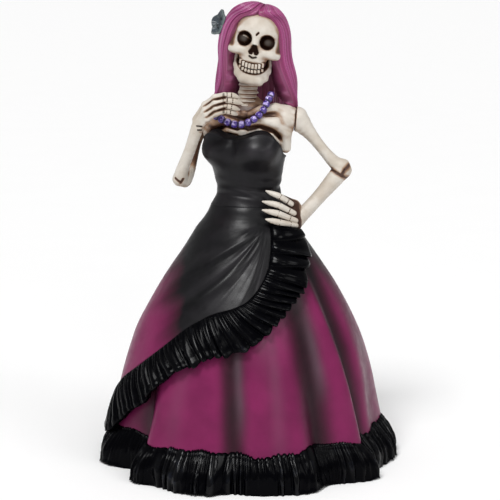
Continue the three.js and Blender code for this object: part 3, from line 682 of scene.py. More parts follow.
def skirt_highlights(angle, z):
    total = np.zeros(np.broadcast(angle, z).shape)
    for foot, head, half, strength, low, high in SKIRT_HIGHLIGHTS:
        centre = foot + (head - foot) * smooth(z, low, high)
        fade = smooth(z, low - 12, low + 14) * smooth(z, high + 14, high - 12)
        total = total + strength * hill(wrapped(angle - centre), 0, half) * fade
    return total * (0.8 + 0.2 * wobble(z / 7, 61))


def build_skirt():
    angles = np.arange(SKIRT_COLUMNS) * 360 / SKIRT_COLUMNS - 180
    angle, z = np.meshgrid(angles, np.linspace(SKIRT_FOOT, WAIST, SKIRT_ROWS))
    tuck = 1.6 * smooth(z, 112, WAIST)  # clear of the wrap where that lies over it
    outer = skirt_point(angle, z, -tuck)
    inner = skirt_point(angle, z, -SKIRT_WALL - tuck)
    waist = smooth(z + 6 * wobble(np.radians(angle) * 3, 5), 124, 84)
    shown = np.clip(waist * (1 - dark_folds(angle, z)), 0, 1)
    points, faces = shell(outer, inner, True)
    looks = {"magenta": walls(shown), "sheen": walls(skirt_highlights(angle, z))}
    make_piece("gown_skirt", points, faces, GOWN, ["skirt_shell"], "gown_magenta", **looks)


def pleats(count, seed):
    """Uneven rounded ridges with sharp valleys along a running pleat count, 0 to 1."""
    bent = count + 0.55 * wobble(count * 0.8, seed) + 0.3 * wobble(count * 2.1, seed + 1)
    height = 0.72 + 0.28 * wobble(count * 1.7, seed + 2)
    return np.abs(np.cos(np.pi * bent)) ** 0.7 * height


HEM_TOP = 20.0
HEM_WALL = 1.6
HEM_GATHERS = 64  # gathers round the hem


def hem_gathers(turn, v):
    """Wide gathers, 0 in a valley to 1 on a ridge, sharp above and soft at the foot, and fine ones."""
    lean = 0.35 * (1 - v) * np.sin(turn * 17 + 2 * np.sin(turn * 5))
    even = turn * HEM_GATHERS / (2 * math.pi)
    count = even + 2.6 * np.sin(turn * 5) + 1.3 * np.sin(turn * 13 + 1) + lean
    count = count + 0.4 * np.sin(turn * 31 + 2) + 0.12 * np.sin(turn * 53)
    swell = 0.62 + 0.38 * np.sin(turn * 37 + 3 * np.sin(turn * 11))
    sharp = np.abs(np.cos(np.pi * count)) ** 0.7
    soft = 0.5 + 0.5 * np.cos(2 * np.pi * count)
    coarse = (soft + (sharp - soft) * smooth(v, 0, 0.4)) * swell
    return coarse, np.abs(np.cos(np.pi * (2 * count + 0.9 * np.sin(turn * 29) + 0.3)))


def build_hem_ruffle():
    turn, v = closed_grid(1500, 32)
    angle = np.degrees(turn) - 180
    foot = 1 - v
    coarse, fine = hem_gathers(turn, v)
    share = 0.06 + 0.6 * smooth(v, 0.25, 0.95)
    crest = (1 - share) * coarse + share * fine
    wave = np.sin(turn * 11 + 0.8 + 1.4 * np.sin(turn * 3))
    z = HEM_TOP * v + (np.sin(turn * 7 + 1) + 0.6 * np.sin(turn * 23)) * smooth(v, 0.6, 1)
    z = z + 1.6 * (crest - 0.5) * smooth(v, 0.9, 1)
    z = z - (0.4 * (coarse - 0.5) - 0.9 * wave) * smooth(v, 0.3, 0)
    flare = 1.0 + 4.6 * foot**1.2 + 1.7 * hill(v, 0.5, 0.3)
    depth = (0.6 + 3.0 * foot**0.5) * (1 - 0.4 * smooth(v, 0.75, 0.9))
    depth = depth * (1 - 0.55 * smooth(foot, 0.7, 1))
    roll = 2.2 * wave * foot**1.1
    stand = flare + roll + depth * crest - 0.8 * smooth(v, 0.93, 1)
    floor = np.maximum(z, 0)
    outer = skirt_point(angle, floor, stand)
    inner = skirt_point(angle, floor, stand - HEM_WALL - 0.3 * depth)
    points, faces = shell(outer, inner, True)
    looks = {"crest": walls(crest, 0.0)}
    make_piece("hem_ruffle_cloth", points, faces, RUFFLE, ["hem_ruffle"], "gown_black", **looks)


# The wrap: a panel over the skirt from her left hip, edged with a gathered ruffle. The seam is
# its height over the angle; behind her the seam climbs back to the same hip.
SEAM = track([
    [-206, 138], [-198, 124], [-188, 109], [-176, 93], [-163, 76], [-148, 57], [-130, 42],
    [-108, 37], [-84, 39.5], [-68, 53], [-46, 70.5], [-26, 87], [0, 97.5], [8, 105],
    [14, 112], [19, 121], [23, 131], [24, 140],
])
WRAP_STAND = 2.3
HIP = np.array([22.0, 136.0])  # angle and height where the wrap's folds gather
HIP_RADIUS = 48  # turns an angle from the hip into a distance round her
# Angle below the level seen from the hip, half width and rise of each fold
WRAP_FOLDS = [(18, 4, 0.8), (28, 4, 1.1), (37, 3.4, 1.1), (46, 3.4, 0.7), (56, 4.0, 0.6)]


def wrap_folds(angle, z):
    """Tension folds fanning from the hip: the cloth's rise, and each place's angle and distance
    seen from the hip."""
    aside = np.radians(angle - HIP[0]) * HIP_RADIUS
    drop = HIP[1] - z
    reach = np.hypot(aside, drop)
    fan = np.degrees(np.arctan2(drop, -aside))
    folds = np.zeros(fan.shape)
    for centre, half, rise in WRAP_FOLDS:
        bend = 4 * np.sin(reach / 23 + centre)
        folds = folds + rise * hill(fan - centre, bend, half)
    fine = 0.3 * wobble(fan / 2.4 + 0.6 * np.sin(reach / 17), 63) * smooth(reach, 90, 40)
    fade = smooth(reach, 6, 26) * (1 - 0.75 * smooth(reach, 60, 105))
    return (folds + fine) * fade, fan, reach


def bridged(angle, z):
    """How far the drape bridges the underskirt's valleys instead of following them."""
    return 0.55 * fold_depth(angle, z) * (1 - 0.65 * smooth(-angle, 140, 180))


def wrap_stand(angle, z):
    folds, _, _ = wrap_folds(angle, z)
    front = smooth(angle, -120, -80)
    return WRAP_STAND * (1 - 0.85 * smooth(z, 128, 140)) + folds * front


# Height about which the wrap's magenta turns black, over the angle
MAGENTA_LIMIT = track([
    [-210, 96], [-150, 98], [-110, 101], [-90, 101], [-76, 99], [-62, 93], [-52, 84],
    [-44, 76], [-36, 58], [-20, 34], [24, 20],
])


def build_wrap_panel():
    angle, v = open_grid(470, 100, -205, 23.5)
    low = SEAM(angle)
    z = low + (WAIST_TOP - low) * v
    stand = wrap_stand(angle, z)
    bridge = bridged(angle, z)
    outer = skirt_point(angle, z, stand + bridge)
    inner = skirt_point(angle, z, -0.4 + bridge * 0.9)
    waist = smooth(z, 128, WAIST_TOP)[..., None]
    outer = outer + (core_point(angle, z, 0.5 + bodice_stand(angle, z)) - outer) * waist
    inner = inner + (core_point(angle, z, bodice_stand(angle, z) - 0.6) - inner) * waist
    _, fan, reach = wrap_folds(angle, z)
    limit = MAGENTA_LIMIT(angle)
    streak = 9 * wobble(fan / 3.0, 52) * smooth(angle, -100, -70)
    magenta = np.clip((limit + streak - z + 23) / 44, 0, 1)
    # painted grey highlight over the front, in streaks fanning from the hip
    front = hill(angle, -14, 30) * smooth(z, 134, 112)
    sheen = (0.03 + 0.08 * wobble(fan / 2.6, 57)) * front * smooth(reach, 8, 30)
    looks = {"magenta": walls(magenta), "sheen": walls(np.clip(sheen, 0, 1))}
    points, faces = shell(outer, inner, False)
    make_piece("gown_wrap", points, faces, GOWN, ["wrap_panel"], "gown_black", **looks)


# Rows run along the gathered strip from her front left hip round to the back of it: angle and
# height of the seam, then angle and height of the free edge.
STRIP = [
    [24, 134, 60, 130],
    [22, 129, 62, 125],
    [19, 122, 53, 117],
    [14, 113, 42, 108.5],
    [8, 105.5, 33, 99],
    [0, 97.5, 20, 90],
    [-10, 93, 5, 79],
    [-22, 89, -9, 71.5],
    [-34, 82, -22, 66.5],
    [-46, 70.5, -36, 58],
    [-58, 60, -48, 44],
    [-70, 51, -62, 32],
    [-84, 39.5, -78, 19],
    [-97, 37, -94, 16],
    [-115, 37.5, -114, 17],
    [-130, 42, -133, 24],
    [-148, 57, -156, 38],
    [-163, 76, -174, 58],
    [-176, 93, -190, 77],
    [-188, 109, -206, 96],
    [-198, 123, -219, 112],
    [-204, 133, -228, 127],
]


def build_wrap_ruffle():
    columns, rows = 1500, 32
    along = np.linspace(0, len(STRIP) - 1, columns)
    values = track([[i, *row] for i, row in enumerate(STRIP)])(along)
    seam_angle, seam_z, edge_angle, edge_z = values
    middle = skirt_point((seam_angle + edge_angle) / 2, (seam_z + edge_z) / 2, 3)
    steps = np.linalg.norm(np.diff(middle, axis=0), axis=1)
    s = np.concatenate([[0], np.cumsum(steps)])
    pitch = 5.0 + 2.2 * smooth(s, 40, 16) + 1.2 * wobble(s / 6, 29)  # the puffs at the hip are wider
    phase = np.concatenate([[0], np.cumsum(steps / ((pitch[1:] + pitch[:-1]) / 2))])
    v = np.linspace(0, 1, rows)[:, None]  # 0 at the free edge, 1 at the seam
    edge = 1 - v
    hip = smooth(s, 42, 20)[None]
    sweep = 1.1 * edge * wobble(phase / 2.1, 31)[None]
    coarse = pleats(phase[None] + sweep, 12)
    fine = pleats(phase[None] * 2 + 1.6 * sweep + 0.35, 17)
    share = (0.14 + 0.46 * smooth(v, 0.3, 1)) * (1 - 0.85 * hip)
    wave = wobble(s / 8.5, 44)[None]
    crest = (1 - share) * coarse + share * fine
    ripple = (4.6 * wave + 2.2 * (coarse - 0.5)) * edge**1.6
    angle = edge_angle[None] + (seam_angle - edge_angle)[None] * v
    z = edge_z[None] + (seam_z - edge_z)[None] * v - ripple
    puff = 2.2 * np.sin(np.pi * np.clip(0.12 + 0.8 * edge, 0, 1)) ** 0.8
    puff = puff + 2.0 * hip * np.sin(np.pi * edge) ** 0.6
    curl = 1.2 * smooth(edge, 0.75, 1.0) * (1 - hip)
    depth = (0.8 + 2.9 * edge**0.6 * (1 - 0.3 * smooth(edge, 0.85, 1))) * (1 + 0.25 * hip)
    base = WRAP_STAND + 0.2 + 0.9 * bridged(angle, z)
    stand = base + puff * 0.9 + curl + depth * crest - 1.6 * wave * edge
    outer = skirt_point(angle, z, stand)
    # solid down to the skirt, thinning to a sheet at the free edge
    foot = base + (0.3 - base) * smooth(edge, 0.0, 0.15)
    inner = foot + np.maximum(stand - 2.2 - 0.5 * puff - foot, 0) * smooth(edge, 0.7, 1.0)
    inner = skirt_point(angle, z, inner)
    points, faces = shell(outer[:, ::-1], inner[:, ::-1], False)
    looks = {"crest": walls(np.broadcast_to(crest, angle.shape)[:, ::-1], 0.0)}
    make_piece("wrap_ruffle_cloth", points, faces, RUFFLE, ["wrap_ruffle"], "gown_black", **looks)


# ----------------------------------------------------------------------------------------------
# Torso. Rows are height, centre x, centre y, half width, half depth.

TORSO_TURN = math.radians(-15)
CORE = track([
    [128, 0, 0, 23.4, 21],
    [134, 0, 0, 21, 18.8],
    [140, 0, 0, 17.8, 15.8],
    [148, -0.6, 0, 14.4, 11],
    [158, -1, 0, 15.8, 11.2],
    [168, -1.5, 0, 18.2, 11.6],
    [178, -1, 0, 21, 11.6],
    [186, -0.6, 0.5, 23.2, 11],
    [191, -0.6, 1, 22.6, 9.4],
    [195.5, -1, 1.2, 15, 7],
])


def core_point(angle, z, out):
    cx, cy, width, depth = CORE(z)
    turn = np.radians(angle)
    x, y = (width + out) * np.sin(turn), -(depth + out) * np.cos(turn)
    twist = TORSO_TURN * smooth(z, 135, 165)
    cos, sin = np.cos(twist), np.sin(twist)
    return np.stack(np.broadcast_arrays(cx + x * cos - y * sin, cy + x * sin + y * cos, z), -1)


def neckline(angle):
    away = np.abs(angle + 7)
    return 179.6 + 3.6 * hill(away, 31, 19) - 10 * smooth(away, 40, 95)


def bodice_stand(angle, z):
    """How far the bodice stands off the body: two cups with a crease between and folds below."""
    total = 2.6 + 1.2 * smooth(z, 150, 141)
    for centre, half in ((-37, 24), (25, 30)):
        across = (angle - centre) / half
        up = np.where(z > 171, (z - 171) / 9.5, (z - 171) / 8)
        total = total + 8.0 * np.exp(-(np.abs(across) ** 2.3) - np.abs(up) ** 2.2)
    crease = hill(angle, -8, 5.5) * smooth(z, 165, 173)
    total = total - 1.4 * crease
    creases = 0.32 * np.sin(z * 1.15 + 2.2 * np.sin(np.radians(angle) * 2))
    return total + creases * hill(z, 151, 6) * smooth(np.abs(angle - 20), 140, 60)


def build_bodice():
    angle, v = closed_grid(400, 118, 360)
    angle = angle - 180
    low = WAIST - 6  # tucked under the skirt's waist
    z = low + (neckline(angle) - low) * v
    rim = (1 - 0.62 * smooth(v, 0.955, 1.0)) * (1 - 0.8 * smooth(z, 141.5, 137))
    lip = 0.35 * hill(v, 0.965, 0.02)
    outer = core_point(angle, z, 0.4 + bodice_stand(angle, z) * rim + lip)
    inner = core_point(angle, z, 0.3)
    points, faces = shell(outer, inner, True)
    # painted grey highlight, faint all over and brighter on the cups
    sheen = 0.03 + 0 * z
    for centre, side in ((-34, 9), (16, 7), (34, 6)):
        sheen = sheen + 0.12 * hill(angle, centre, side) * hill(z, 173, 3.4)
    looks = {"magenta": np.zeros(len(points)), "sheen": walls(sheen)}
    make_piece("gown_bodice", points, faces, GOWN, ["bodice_shell"], "gown_black", **looks)


CHEST_CENTRE = np.array([-0.8, 0.5, 0.0])


def chest_axes(p):
    """Points in the chest's own frame, before it is turned to her right."""
    cos, sin = math.cos(-TORSO_TURN), math.sin(-TORSO_TURN)
    x, y, z = np.moveaxis(p - CHEST_CENTRE, -1, 0)
    return np.stack([x * cos - y * sin, x * sin + y * cos, z], -1)


def on_chest(x, z, out):
    """A point standing off the front of the chest, in the chest's own frame."""
    width, depth = CORE(z)[2:]
    y = -(depth + out) * math.sqrt(max(1 - (x / (width + 0.5)) ** 2, 0.02))
    return (x, y, z)


def band(p, stations, radius, k):
    places = [(*on_chest(x, z, out), radius * thick) for x, z, out, thick in stations]
    return chain(p, places, k)


# Raised bands each side of the breastbone: stations of distance from the middle, height,
# stand-off and relative thickness, then each band's radius and blend
COLLAR_BONE = [(3, 191.2, 0.2, 0.8), (9, 193.4, 0.8, 1.1), (16, 194.2, 1.0, 1.3), (22, 193, 0.9, 1.3)]
UPPER_RIB = [
    (4, 186.6, -0.2, 0.8),
    (10, 188, 0.4, 1.1),
    (17, 186.6, 0.6, 1.4),
    (21.6, 181, 0.5, 1.4),
    (21.2, 173, -0.1, 1.25),
]
LOWER_RIB = [(3, 181.6, 0.2, 0.7), (9, 182.8, 0.8, 0.9), (15, 180.4, 0.8, 0.9), (20, 174.4, 0.6, 0.9)]
CHEST_BANDS = [(2.2, 1.6, COLLAR_BONE), (2.3, 1.6, UPPER_RIB), (1.4, 1.0, LOWER_RIB)]


CHEST_CUT = 24.0  # flat end of the chest at her left shoulder
ARM_CUT = 24.3  # flat end of her left arm, facing it


def past_shoulder(p):
    """Distance towards her left, square to the flat cut at her left shoulder."""
    return p[..., 0] - 0.1 * (p[..., 2] - 188)


def chest_field(p):
    q = chest_axes(p)
    parts = [
        (blob(q, (0, 0.6, 186), (23, 8.6, 9.5)), 5),
        (limb(q, (-17, 0.5, 188), (17, 0.5, 188), 6.6, 6.6), 4),
        (limb(q, (0, 1, 190), (-0.6, 0.6, 199), 7.5, 4.6), 4),
        (blob(q, (21.5, -1.4, 188.2), (5.6, 6.6, 6.9)), 2),
        (limb(p, (19, -4.4, 188.2), (27, -5.6, 188.6), 6.1, 6.2), 2),
    ]
    field = melted(blob(q, (0, 0, 170), (18.6, 10.0, 30)), parts)
    field = np.maximum(field, past_shoulder(p) - CHEST_CUT)
    for side in (-1, 1):
        for radius, k, stations in CHEST_BANDS:
            places = [(side * x, z, out, thick) for x, z, out, thick in stations]
            field = melt(field, band(q, places, radius, 1.0), k)
    for z, rx, rz in ((191.2, 2.7, 2.2), (186.2, 2.3, 2.0), (181.4, 3.0, 2.1)):
        x, y, _ = on_chest(0, z, 0.2)
        field = melt(field, blob(q, (x, y, z), (rx, 1.7, rz)), 0.5)
    return field


def build_chest():
    points, faces, wash = modelled(chest_field, (-28, -17, 146), (26, 16, 202), step=0.5)
    banded = ("clavicle", "upper_rib", "lower_rib")
    nodes = ["torso_core", "sternum"]
    nodes += [f"{side}_{bone}" for side in ("left", "right") for bone in banded]
    x, z = points[:, 0], points[:, 2]
    # painted shade on the upper breastbone, under the chin and behind her right hand
    middle = hill(x, -2.5, 8.5) * smooth(z, 184, 189)
    dark_line = smooth(past_shoulder(points), 23.2, CHEST_CUT) * (z > 178)
    line = 0.3 * smooth(wash, 0.7, 1) * smooth(np.abs(x + 2), 14, 8)
    left = 0.35 * smooth(x, -7, -15) * smooth(z, 178, 184)
    texture = 0.14 * wobble(z * 1.3 + x * 0.5, 91) * smooth(z, 176, 182)
    wash = np.clip(wash * 1.25 + 0.06 + 0.5 * middle + left + texture, 0, 0.82) + 0.2 * dark_line
    make_bones("chest_bones", (points, faces), nodes, wash, line, "bone_core")


# ----------------------------------------------------------------------------------------------
# Skull, modelled upright about its own centre and then leant and turned like the CAD's

HEAD_LEAN = math.radians(11)
HAIR_LEAN = math.radians(8)
HEAD_TURN = math.radians(-4)
HEAD_CENTRE = np.array([3.45, -1.0, 227.5])
HAIR_CENTRE = np.array([2.2, -1.0, 227.5])


def turned_y(angle):
    cos, sin = math.cos(angle), math.sin(angle)
    return np.array([[cos, 0, sin], [0, 1, 0], [-sin, 0, cos]])


def turned_z(angle):
    cos, sin = math.cos(angle), math.sin(angle)
    return np.array([[cos, -sin, 0], [sin, cos, 0], [0, 0, 1]])


HEAD_AXES = turned_y(HEAD_LEAN) @ turned_z(HEAD_TURN)


def on_head(points):
    return np.asarray(points) @ HEAD_AXES.T + HEAD_CENTRE


EYE = np.array([6.15, -14.8, 2.9])


def mirrored(p):
    return np.stack([np.abs(p[..., 0]), p[..., 1], p[..., 2]], -1)


EYE_SIZE = np.array([4.15, 5.0, 3.95])
NOSE = ((1.4, -15.4, -3.2), (0.35, -15.8, 0), 1.35, 0.8)  # foot and top, and a radius at each


def cranium_field(p):
    m = mirrored(p)
    cheek = [(6.0, -12.6, -3.0, 2.4), (9.4, -11.4, -3.4, 2.3), (11.7, -9.0, -3.5, 2.0)]
    cheek_arch = [(11.4, -9.0, -3.8, 1.8), (12.2, -4.0, -3.2, 1.6), (12.0, 2.0, -2.0, 1.4)]
    vault = blob(m, (0, 1.2, 7.0), (13.0, 15.4, 13.2))
    parts = [
        (blob(m, (0, -4.6, 8.0), (12.2, 11.3, 10.6)), 4),
        (blob(m, (0, -7.4, 0.6), (12.3, 7.3, 7.6)), 3),
        (limb(m, (3.0, -13.6, 7.9), (8.8, -12.0, 7.4), 1.5, 1.3), 3),
        (run(m, cheek, 8), 2.4),
        (run(m, cheek_arch, 6), 1.6),
        (limb(m, (11.2, -7.2, 3.4), (11.6, -8.4, -2.6), 1.3, 1.7), 2.4),
        (blob(m, (0, -9.8, -5.8), (7.0, 5.5, 4.8)), 2.4),
        (limb(m, (0, -14.0, 5.0), (0, -15.7, 0.9), 1.8, 1.3), 2.0),
        (blob(m, (0, -8.8, -7.8), (7.2, 6.2, 2.2)), 1.4),
    ]
    field = carve(melted(vault, parts), blob(m, (13.4, -9.5, -10.0), (5.2, 9.0, 4.3)), 1.0)
    field = carve(field, blob(m, EYE, EYE_SIZE), 0.7)
    field = melt(field, blob(m, EYE + [0.2, 3.4, 0], (3.1, 2.6, 3.0)), 0.6)
    field = carve(field, limb(m, *NOSE), 0.35)
    field = melt(field, limb(m, (0, -14.8, -4.8), (0, -13.8, -3.0), 0.45, 0.25), 0.3)
    return grooved(field, p, FACE_LINES, 0.3, 0.3)


# Painted nicks: one under the nose and one over the bridge between the brows
FACE_LINES = [
    [(-1.8, -15.4, -5.5), (0, -15.8, -6.3), (1.8, -15.4, -5.6)],
    [(-0.1, -16.2, 5.9), (0.5, -16.0, 6.8), (1.0, -15.8, 7.4)],
]
# Painted edge of the half-closed lid in her right eye, seen from the front
LID = [(-7.0, 0, 4.5), (-5.2, 0, 4.2), (-2.8, 0, 2.9)]


def flat(p):
    """Points seen from the front, without their depth."""
    return p * [1, 0, 1]


def build_cranium():
    points, faces, wash = modelled(cranium_field, (-16, -19, -13), (16, 18, 22), step=0.42)
    m = mirrored(points)
    side, y, z = m[:, 0], points[:, 1], points[:, 2]
    front = y < -7
    around = length(flat(m - EYE) * [1 / EYE_SIZE[0], 0, 1 / EYE_SIZE[2]])
    dome = hill(length(flat(m - EYE) - [0.2, 0, 0.2]), 0, 1.9)
    socket = (1 - smooth(around, 0.93, 1.04)) * front
    foot, top, *radii = NOSE
    bridge = (1 - smooth(side, 0.15, 0.4)) * (z < -3.4)  # bone showing between the nostrils
    nose = 1 - smooth(limb(flat(m), flat(np.array(foot)), flat(np.array(top)), *radii), 0, 0.3)
    nose = nose * front * (1 - 0.7 * bridge)
    under_nose, brow = ([flat(np.array(spot)) for spot in line] for line in FACE_LINES)
    nicks = near_lines(flat(points), [under_nose], 0.8)
    nicks = np.maximum(nicks, near_lines(flat(points), [brow], 0.5))
    lid = 0.45 * near_lines(flat(points), [LID], 0.42) * front
    line = np.clip(socket * (1 - 0.1 * dome) + nose + nicks * front, 0, 1) * (1 - lid)
    # painted shade towards the back of the skull
    darkened = smooth(y, -4, 5) * 0.4
    # painted shade in the mouth and at its corners
    mouth = smooth(z, -8.2, -10.0) * 0.5 + smooth(z, -6.6, -8) * smooth(side, 4.6, 6.6) * 0.7
    # painted shade at the temples and along the hairline, next to the hair
    temple = 0.6 * smooth(side, 10.6, 12.4) * smooth(z, -3, -1)
    edge = (side / 11.6) ** 2 + ((z - 3) / 12.5) ** 2
    hairline = 0.32 * smooth(edge, 0.75, 1.1) * smooth(z, 5, 9)
    wash = np.clip(wash * 1.05 + darkened + mouth + temple + hairline, 0, 1)
    make_bones("skull_cranium", (on_head(points), faces), ["cranium"], wash, line)


def jaw_shift(p):
    """The jaw hangs a little towards her left."""
    return np.stack([p[..., 0] + 0.09 * (p[..., 2] + 8), p[..., 1], p[..., 2]], -1)


def jaw_field(p):
    m = mirrored(jaw_shift(p))
    corner = [(8.8, -2.4, -5.4, 1.6), (8.4, -4.6, -12.0, 1.7)]
    rim = [(7.2, -8.2, -15.8, 1.9), (4.6, -11.4, -18.0, 2.1), (0, -12.7, -18.4, 2.1)]
    field = chain(m, corner + rim, 1.4)
    field = melt(field, blob(m, (0, -11.8, -16.8), (5.6, 3.0, 3.0)), 1.6)
    arch = run(m, [(7.4, -6.4, -11.6, 1.7), (6.4, -9.6, -13.6, 1.6), (0, -12.2, -15.4, 1.5)], 10)
    return melt(field, arch, 2.0)


def build_jaw():
    points, faces, wash = modelled(jaw_field, (-14, -18, -22), (14, 4, -2), step=0.4)
    # painted shade inside the bowl of the jaw, and in the mouth and at its corners
    inside = smooth(length(jaw_shift(points)[:, :2] * [0.95, 0.9] + [0, 1]), 9.0, 7.0)
    across = np.abs(jaw_shift(points)[:, 0])
    lip = points[:, 2] - smile(across)
    mouth = smooth(lip, -15.6, -14.4) * smooth(points[:, 1], -3, -6) * smooth(across, 9.6, 7.6)
    wash = np.clip(wash * 1.05 + inside * 0.6 + mouth, 0, 1)
    line = 0.75 * mouth * smooth(lip, -15.2, -13.8)
    make_bones("skull_jaw", (on_head(points), faces), ["mandible"], wash, line)


TEETH_HALF = 4  # teeth each side of the middle
TOOTH_PITCH = 1.66
TOOTH_ROUNDING = 0.4
MOUTH_REACH = 9.9  # radius of the arch of teeth
MOUTH_BACK = 5.4  # how far the middle of that arch lies in front of the skull's own centre


def smile(across):
    """How far the rows of teeth rise towards the corners of the mouth."""
    return 0.03 * across**2 + 0.0004 * across**4


def teeth_field(low, high, reach):
    """A row of teeth along the smile, each a rounded block with a gap to the next."""
    middle = (low + high) / 2
    places = []
    for i in range(TEETH_HALF):
        turn = math.asin(TOOTH_PITCH * (i + 0.5) / reach)
        x, y = reach * math.sin(turn), -MOUTH_BACK - reach * math.cos(turn)
        places.append((x, y, middle + smile(x), turn))

    def field(p):
        m = mirrored(p)
        total = None
        for x, y, z, turn in places:
            local = (m - np.array([x, y, z])) @ turned_z(turn)
            half = np.array([TOOTH_PITCH * 0.46, 0.75, (high - low) / 2]) - TOOTH_ROUNDING
            block = length(np.maximum(np.abs(local) - half, 0)) - TOOTH_ROUNDING
            total = block if total is None else np.minimum(total, block)
        gum = np.abs(length((m + [0, MOUTH_BACK, 0])[..., :2]) - (reach - 1.1)) - 0.55
        slab = np.maximum(gum, np.abs(m[..., 2] - middle - smile(m[..., 0])) - (high - low) / 2 + 0.1)
        slab = np.maximum(slab, m[..., 0] - TOOTH_PITCH * TEETH_HALF)
        return melt(total, np.maximum(slab, m[..., 1] + 8), 0.3)

    return field


def build_teeth():
    rows = (("upper", -12.0, -9.4, MOUTH_REACH), ("lower", -14.2, -12.5, MOUTH_REACH - 0.3))
    for name, low, high, reach in rows:
        box = ((-9, -17.5, low - 1.2), (9, -7, high + 4.4))
        points, faces, wash = modelled(teeth_field(low, high, reach), *box, step=0.22)
        from_middle = length((points + [0, MOUTH_BACK, 0])[:, :2])
        # painted shade in the mouth behind and between the teeth, and towards the ends of each row
        behind = smooth(from_middle, reach - 0.25, reach - 0.6)
        wash = np.clip(wash * 0.9 + behind + 0.3 * smooth(np.abs(points[:, 0]), 4.5, 6.5), 0, 1)
        points = points - [[0.06, 0, 0]] * (points[:, 2:] + 8)
        mesh = (on_head(points), faces)
        make_bones(f"skull_{name}_teeth", mesh, [f"{name}_teeth"], wash, behind * 0.9)


def neck_field(p):
    lower = [(-1.9, -0.6, 192, 4.4), (-1.5, -1.2, 202, 4.4)]
    upper = [(0.6, -2.2, 210, 4.6), (1.6, -3.0, 213.5, 5.0)]
    field = run(p, lower + upper, 8)
    for i in range(7):
        centre = np.array([-1.7 + 0.24 * i, -0.8 - 0.19 * i, 195.6 + 2.2 * i])
        wide = 5.7 if i % 2 else 4.9
        disc = blob(p, centre, (wide, 5.3, 1.25))
        wings = limb(p, centre - [wide - 1, 1.4, -0.6], centre + [wide - 1, -1.4, 0.4], 0.7, 0.7)
        field = melt(field, melt(disc, wings, 0.5), 0.9)
    return field


def build_neck():
    points, faces, wash = modelled(neck_field, (-9.5, -9.5, 190), (8.5, 6, 216), step=0.35)
    x, z = points[:, 0], points[:, 2]
    # painted shade under the jaw and down her left side
    darkened = 0.3 * smooth(z, 208, 212) + 0.3 * smooth(x - 0.12 * (z - 196), 1.2, 4.8)
    wash = np.clip((wash - 0.36) * 1.6 + 0.6 * darkened, 0, 1)
    nodes = [f"neck_vertebra_{i}" for i in (1, 2, 3)]
    make_bones("neck_bones", (points, faces), nodes, wash, 0 * wash, "bone_core")


# ----------------------------------------------------------------------------------------------
# Hair, parted over the brow and hanging plumb. Rows run from the ends up over the crown and down
# into the parting: station, height in the head's own frame, half width, reach forward, reach back
# and the angle of the front edge.

HAIR = track([
    [0.00, -33.5, 23.2, 6, 15, 92],
    [0.15, -24, 21.8, 9, 17, 62],
    [0.33, -12, 20.6, 11.2, 18, 48],
    [0.50, 0, 19.6, 13.0, 18.5, 43],
    [0.62, 7, 18.8, 14.2, 18.5, 40],
    [0.71, 12, 17.2, 14.8, 17.8, 36],
    [0.78, 15.6, 15.2, 14.6, 16.6, 26],
    [0.83, 17.8, 13.6, 13.9, 15.2, 8],
    [0.88, 20.0, 10.9, 12.2, 13.8, 0],
    [0.93, 21.6, 7.6, 9.6, 12.2, 0],
    [0.96, 22.3, 5.0, 7.4, 11.0, 0],
    [0.985, 22.5, 2.4, 5.4, 10.2, 0],
    [1.00, 22.4, 0.2, 4.6, 10, 0],
])
HAIR_BACK_ANGLE = 126
HAIR_WALL = 3.6
PARTING = 2.6  # how far the parting lies to her left of the middle


def hang(p):
    leaned = p @ (turned_y(HAIR_LEAN) @ turned_z(HEAD_TURN)).T + HAIR_CENTRE
    plumb = p @ turned_z(HEAD_TURN).T + HAIR_CENTRE
    share = (1 - smooth(p[..., 2], -30, 0))[..., None]
    sway = 3.0 * hill(p[..., 2:], -15, 11)
    return leaned + (plumb - leaned) * share + sway * [1, 0, 0]


def hair_point(side, angle, station, out):
    z, width, front, back, _ = HAIR(station)
    turn = np.radians(angle)
    reach = np.where(angle < 90, front, back)
    over = smooth(station, 0.7, 0.93)  # at the crown the wall is measured downwards
    shrink = out * (1 - over * smooth(out, 0, -2))
    x = side * np.maximum(width + shrink, 0.02) * np.sin(turn) + PARTING * smooth(station, 0.82, 1)
    y = -(reach + shrink) * np.cos(turn)
    return np.stack(np.broadcast_arrays(x, y, z + out * over), -1)


def strands(u, seed):
    """Locks across u (0..1): crest height 0..1, broad locks with finer ones over them."""
    broad = np.abs(np.cos(np.pi * (u * 7 + 0.6 * wobble(u * 9, seed)))) ** 0.6
    mid = np.abs(np.cos(np.pi * (u * 17 + 0.9 * wobble(u * 13, seed + 1)))) ** 0.8
    fine = 0.5 + 0.5 * np.cos(2 * np.pi * (u * 41 + 1.3 * wobble(u * 19, seed + 2)))
    return 0.5 * broad + 0.34 * mid + 0.16 * fine


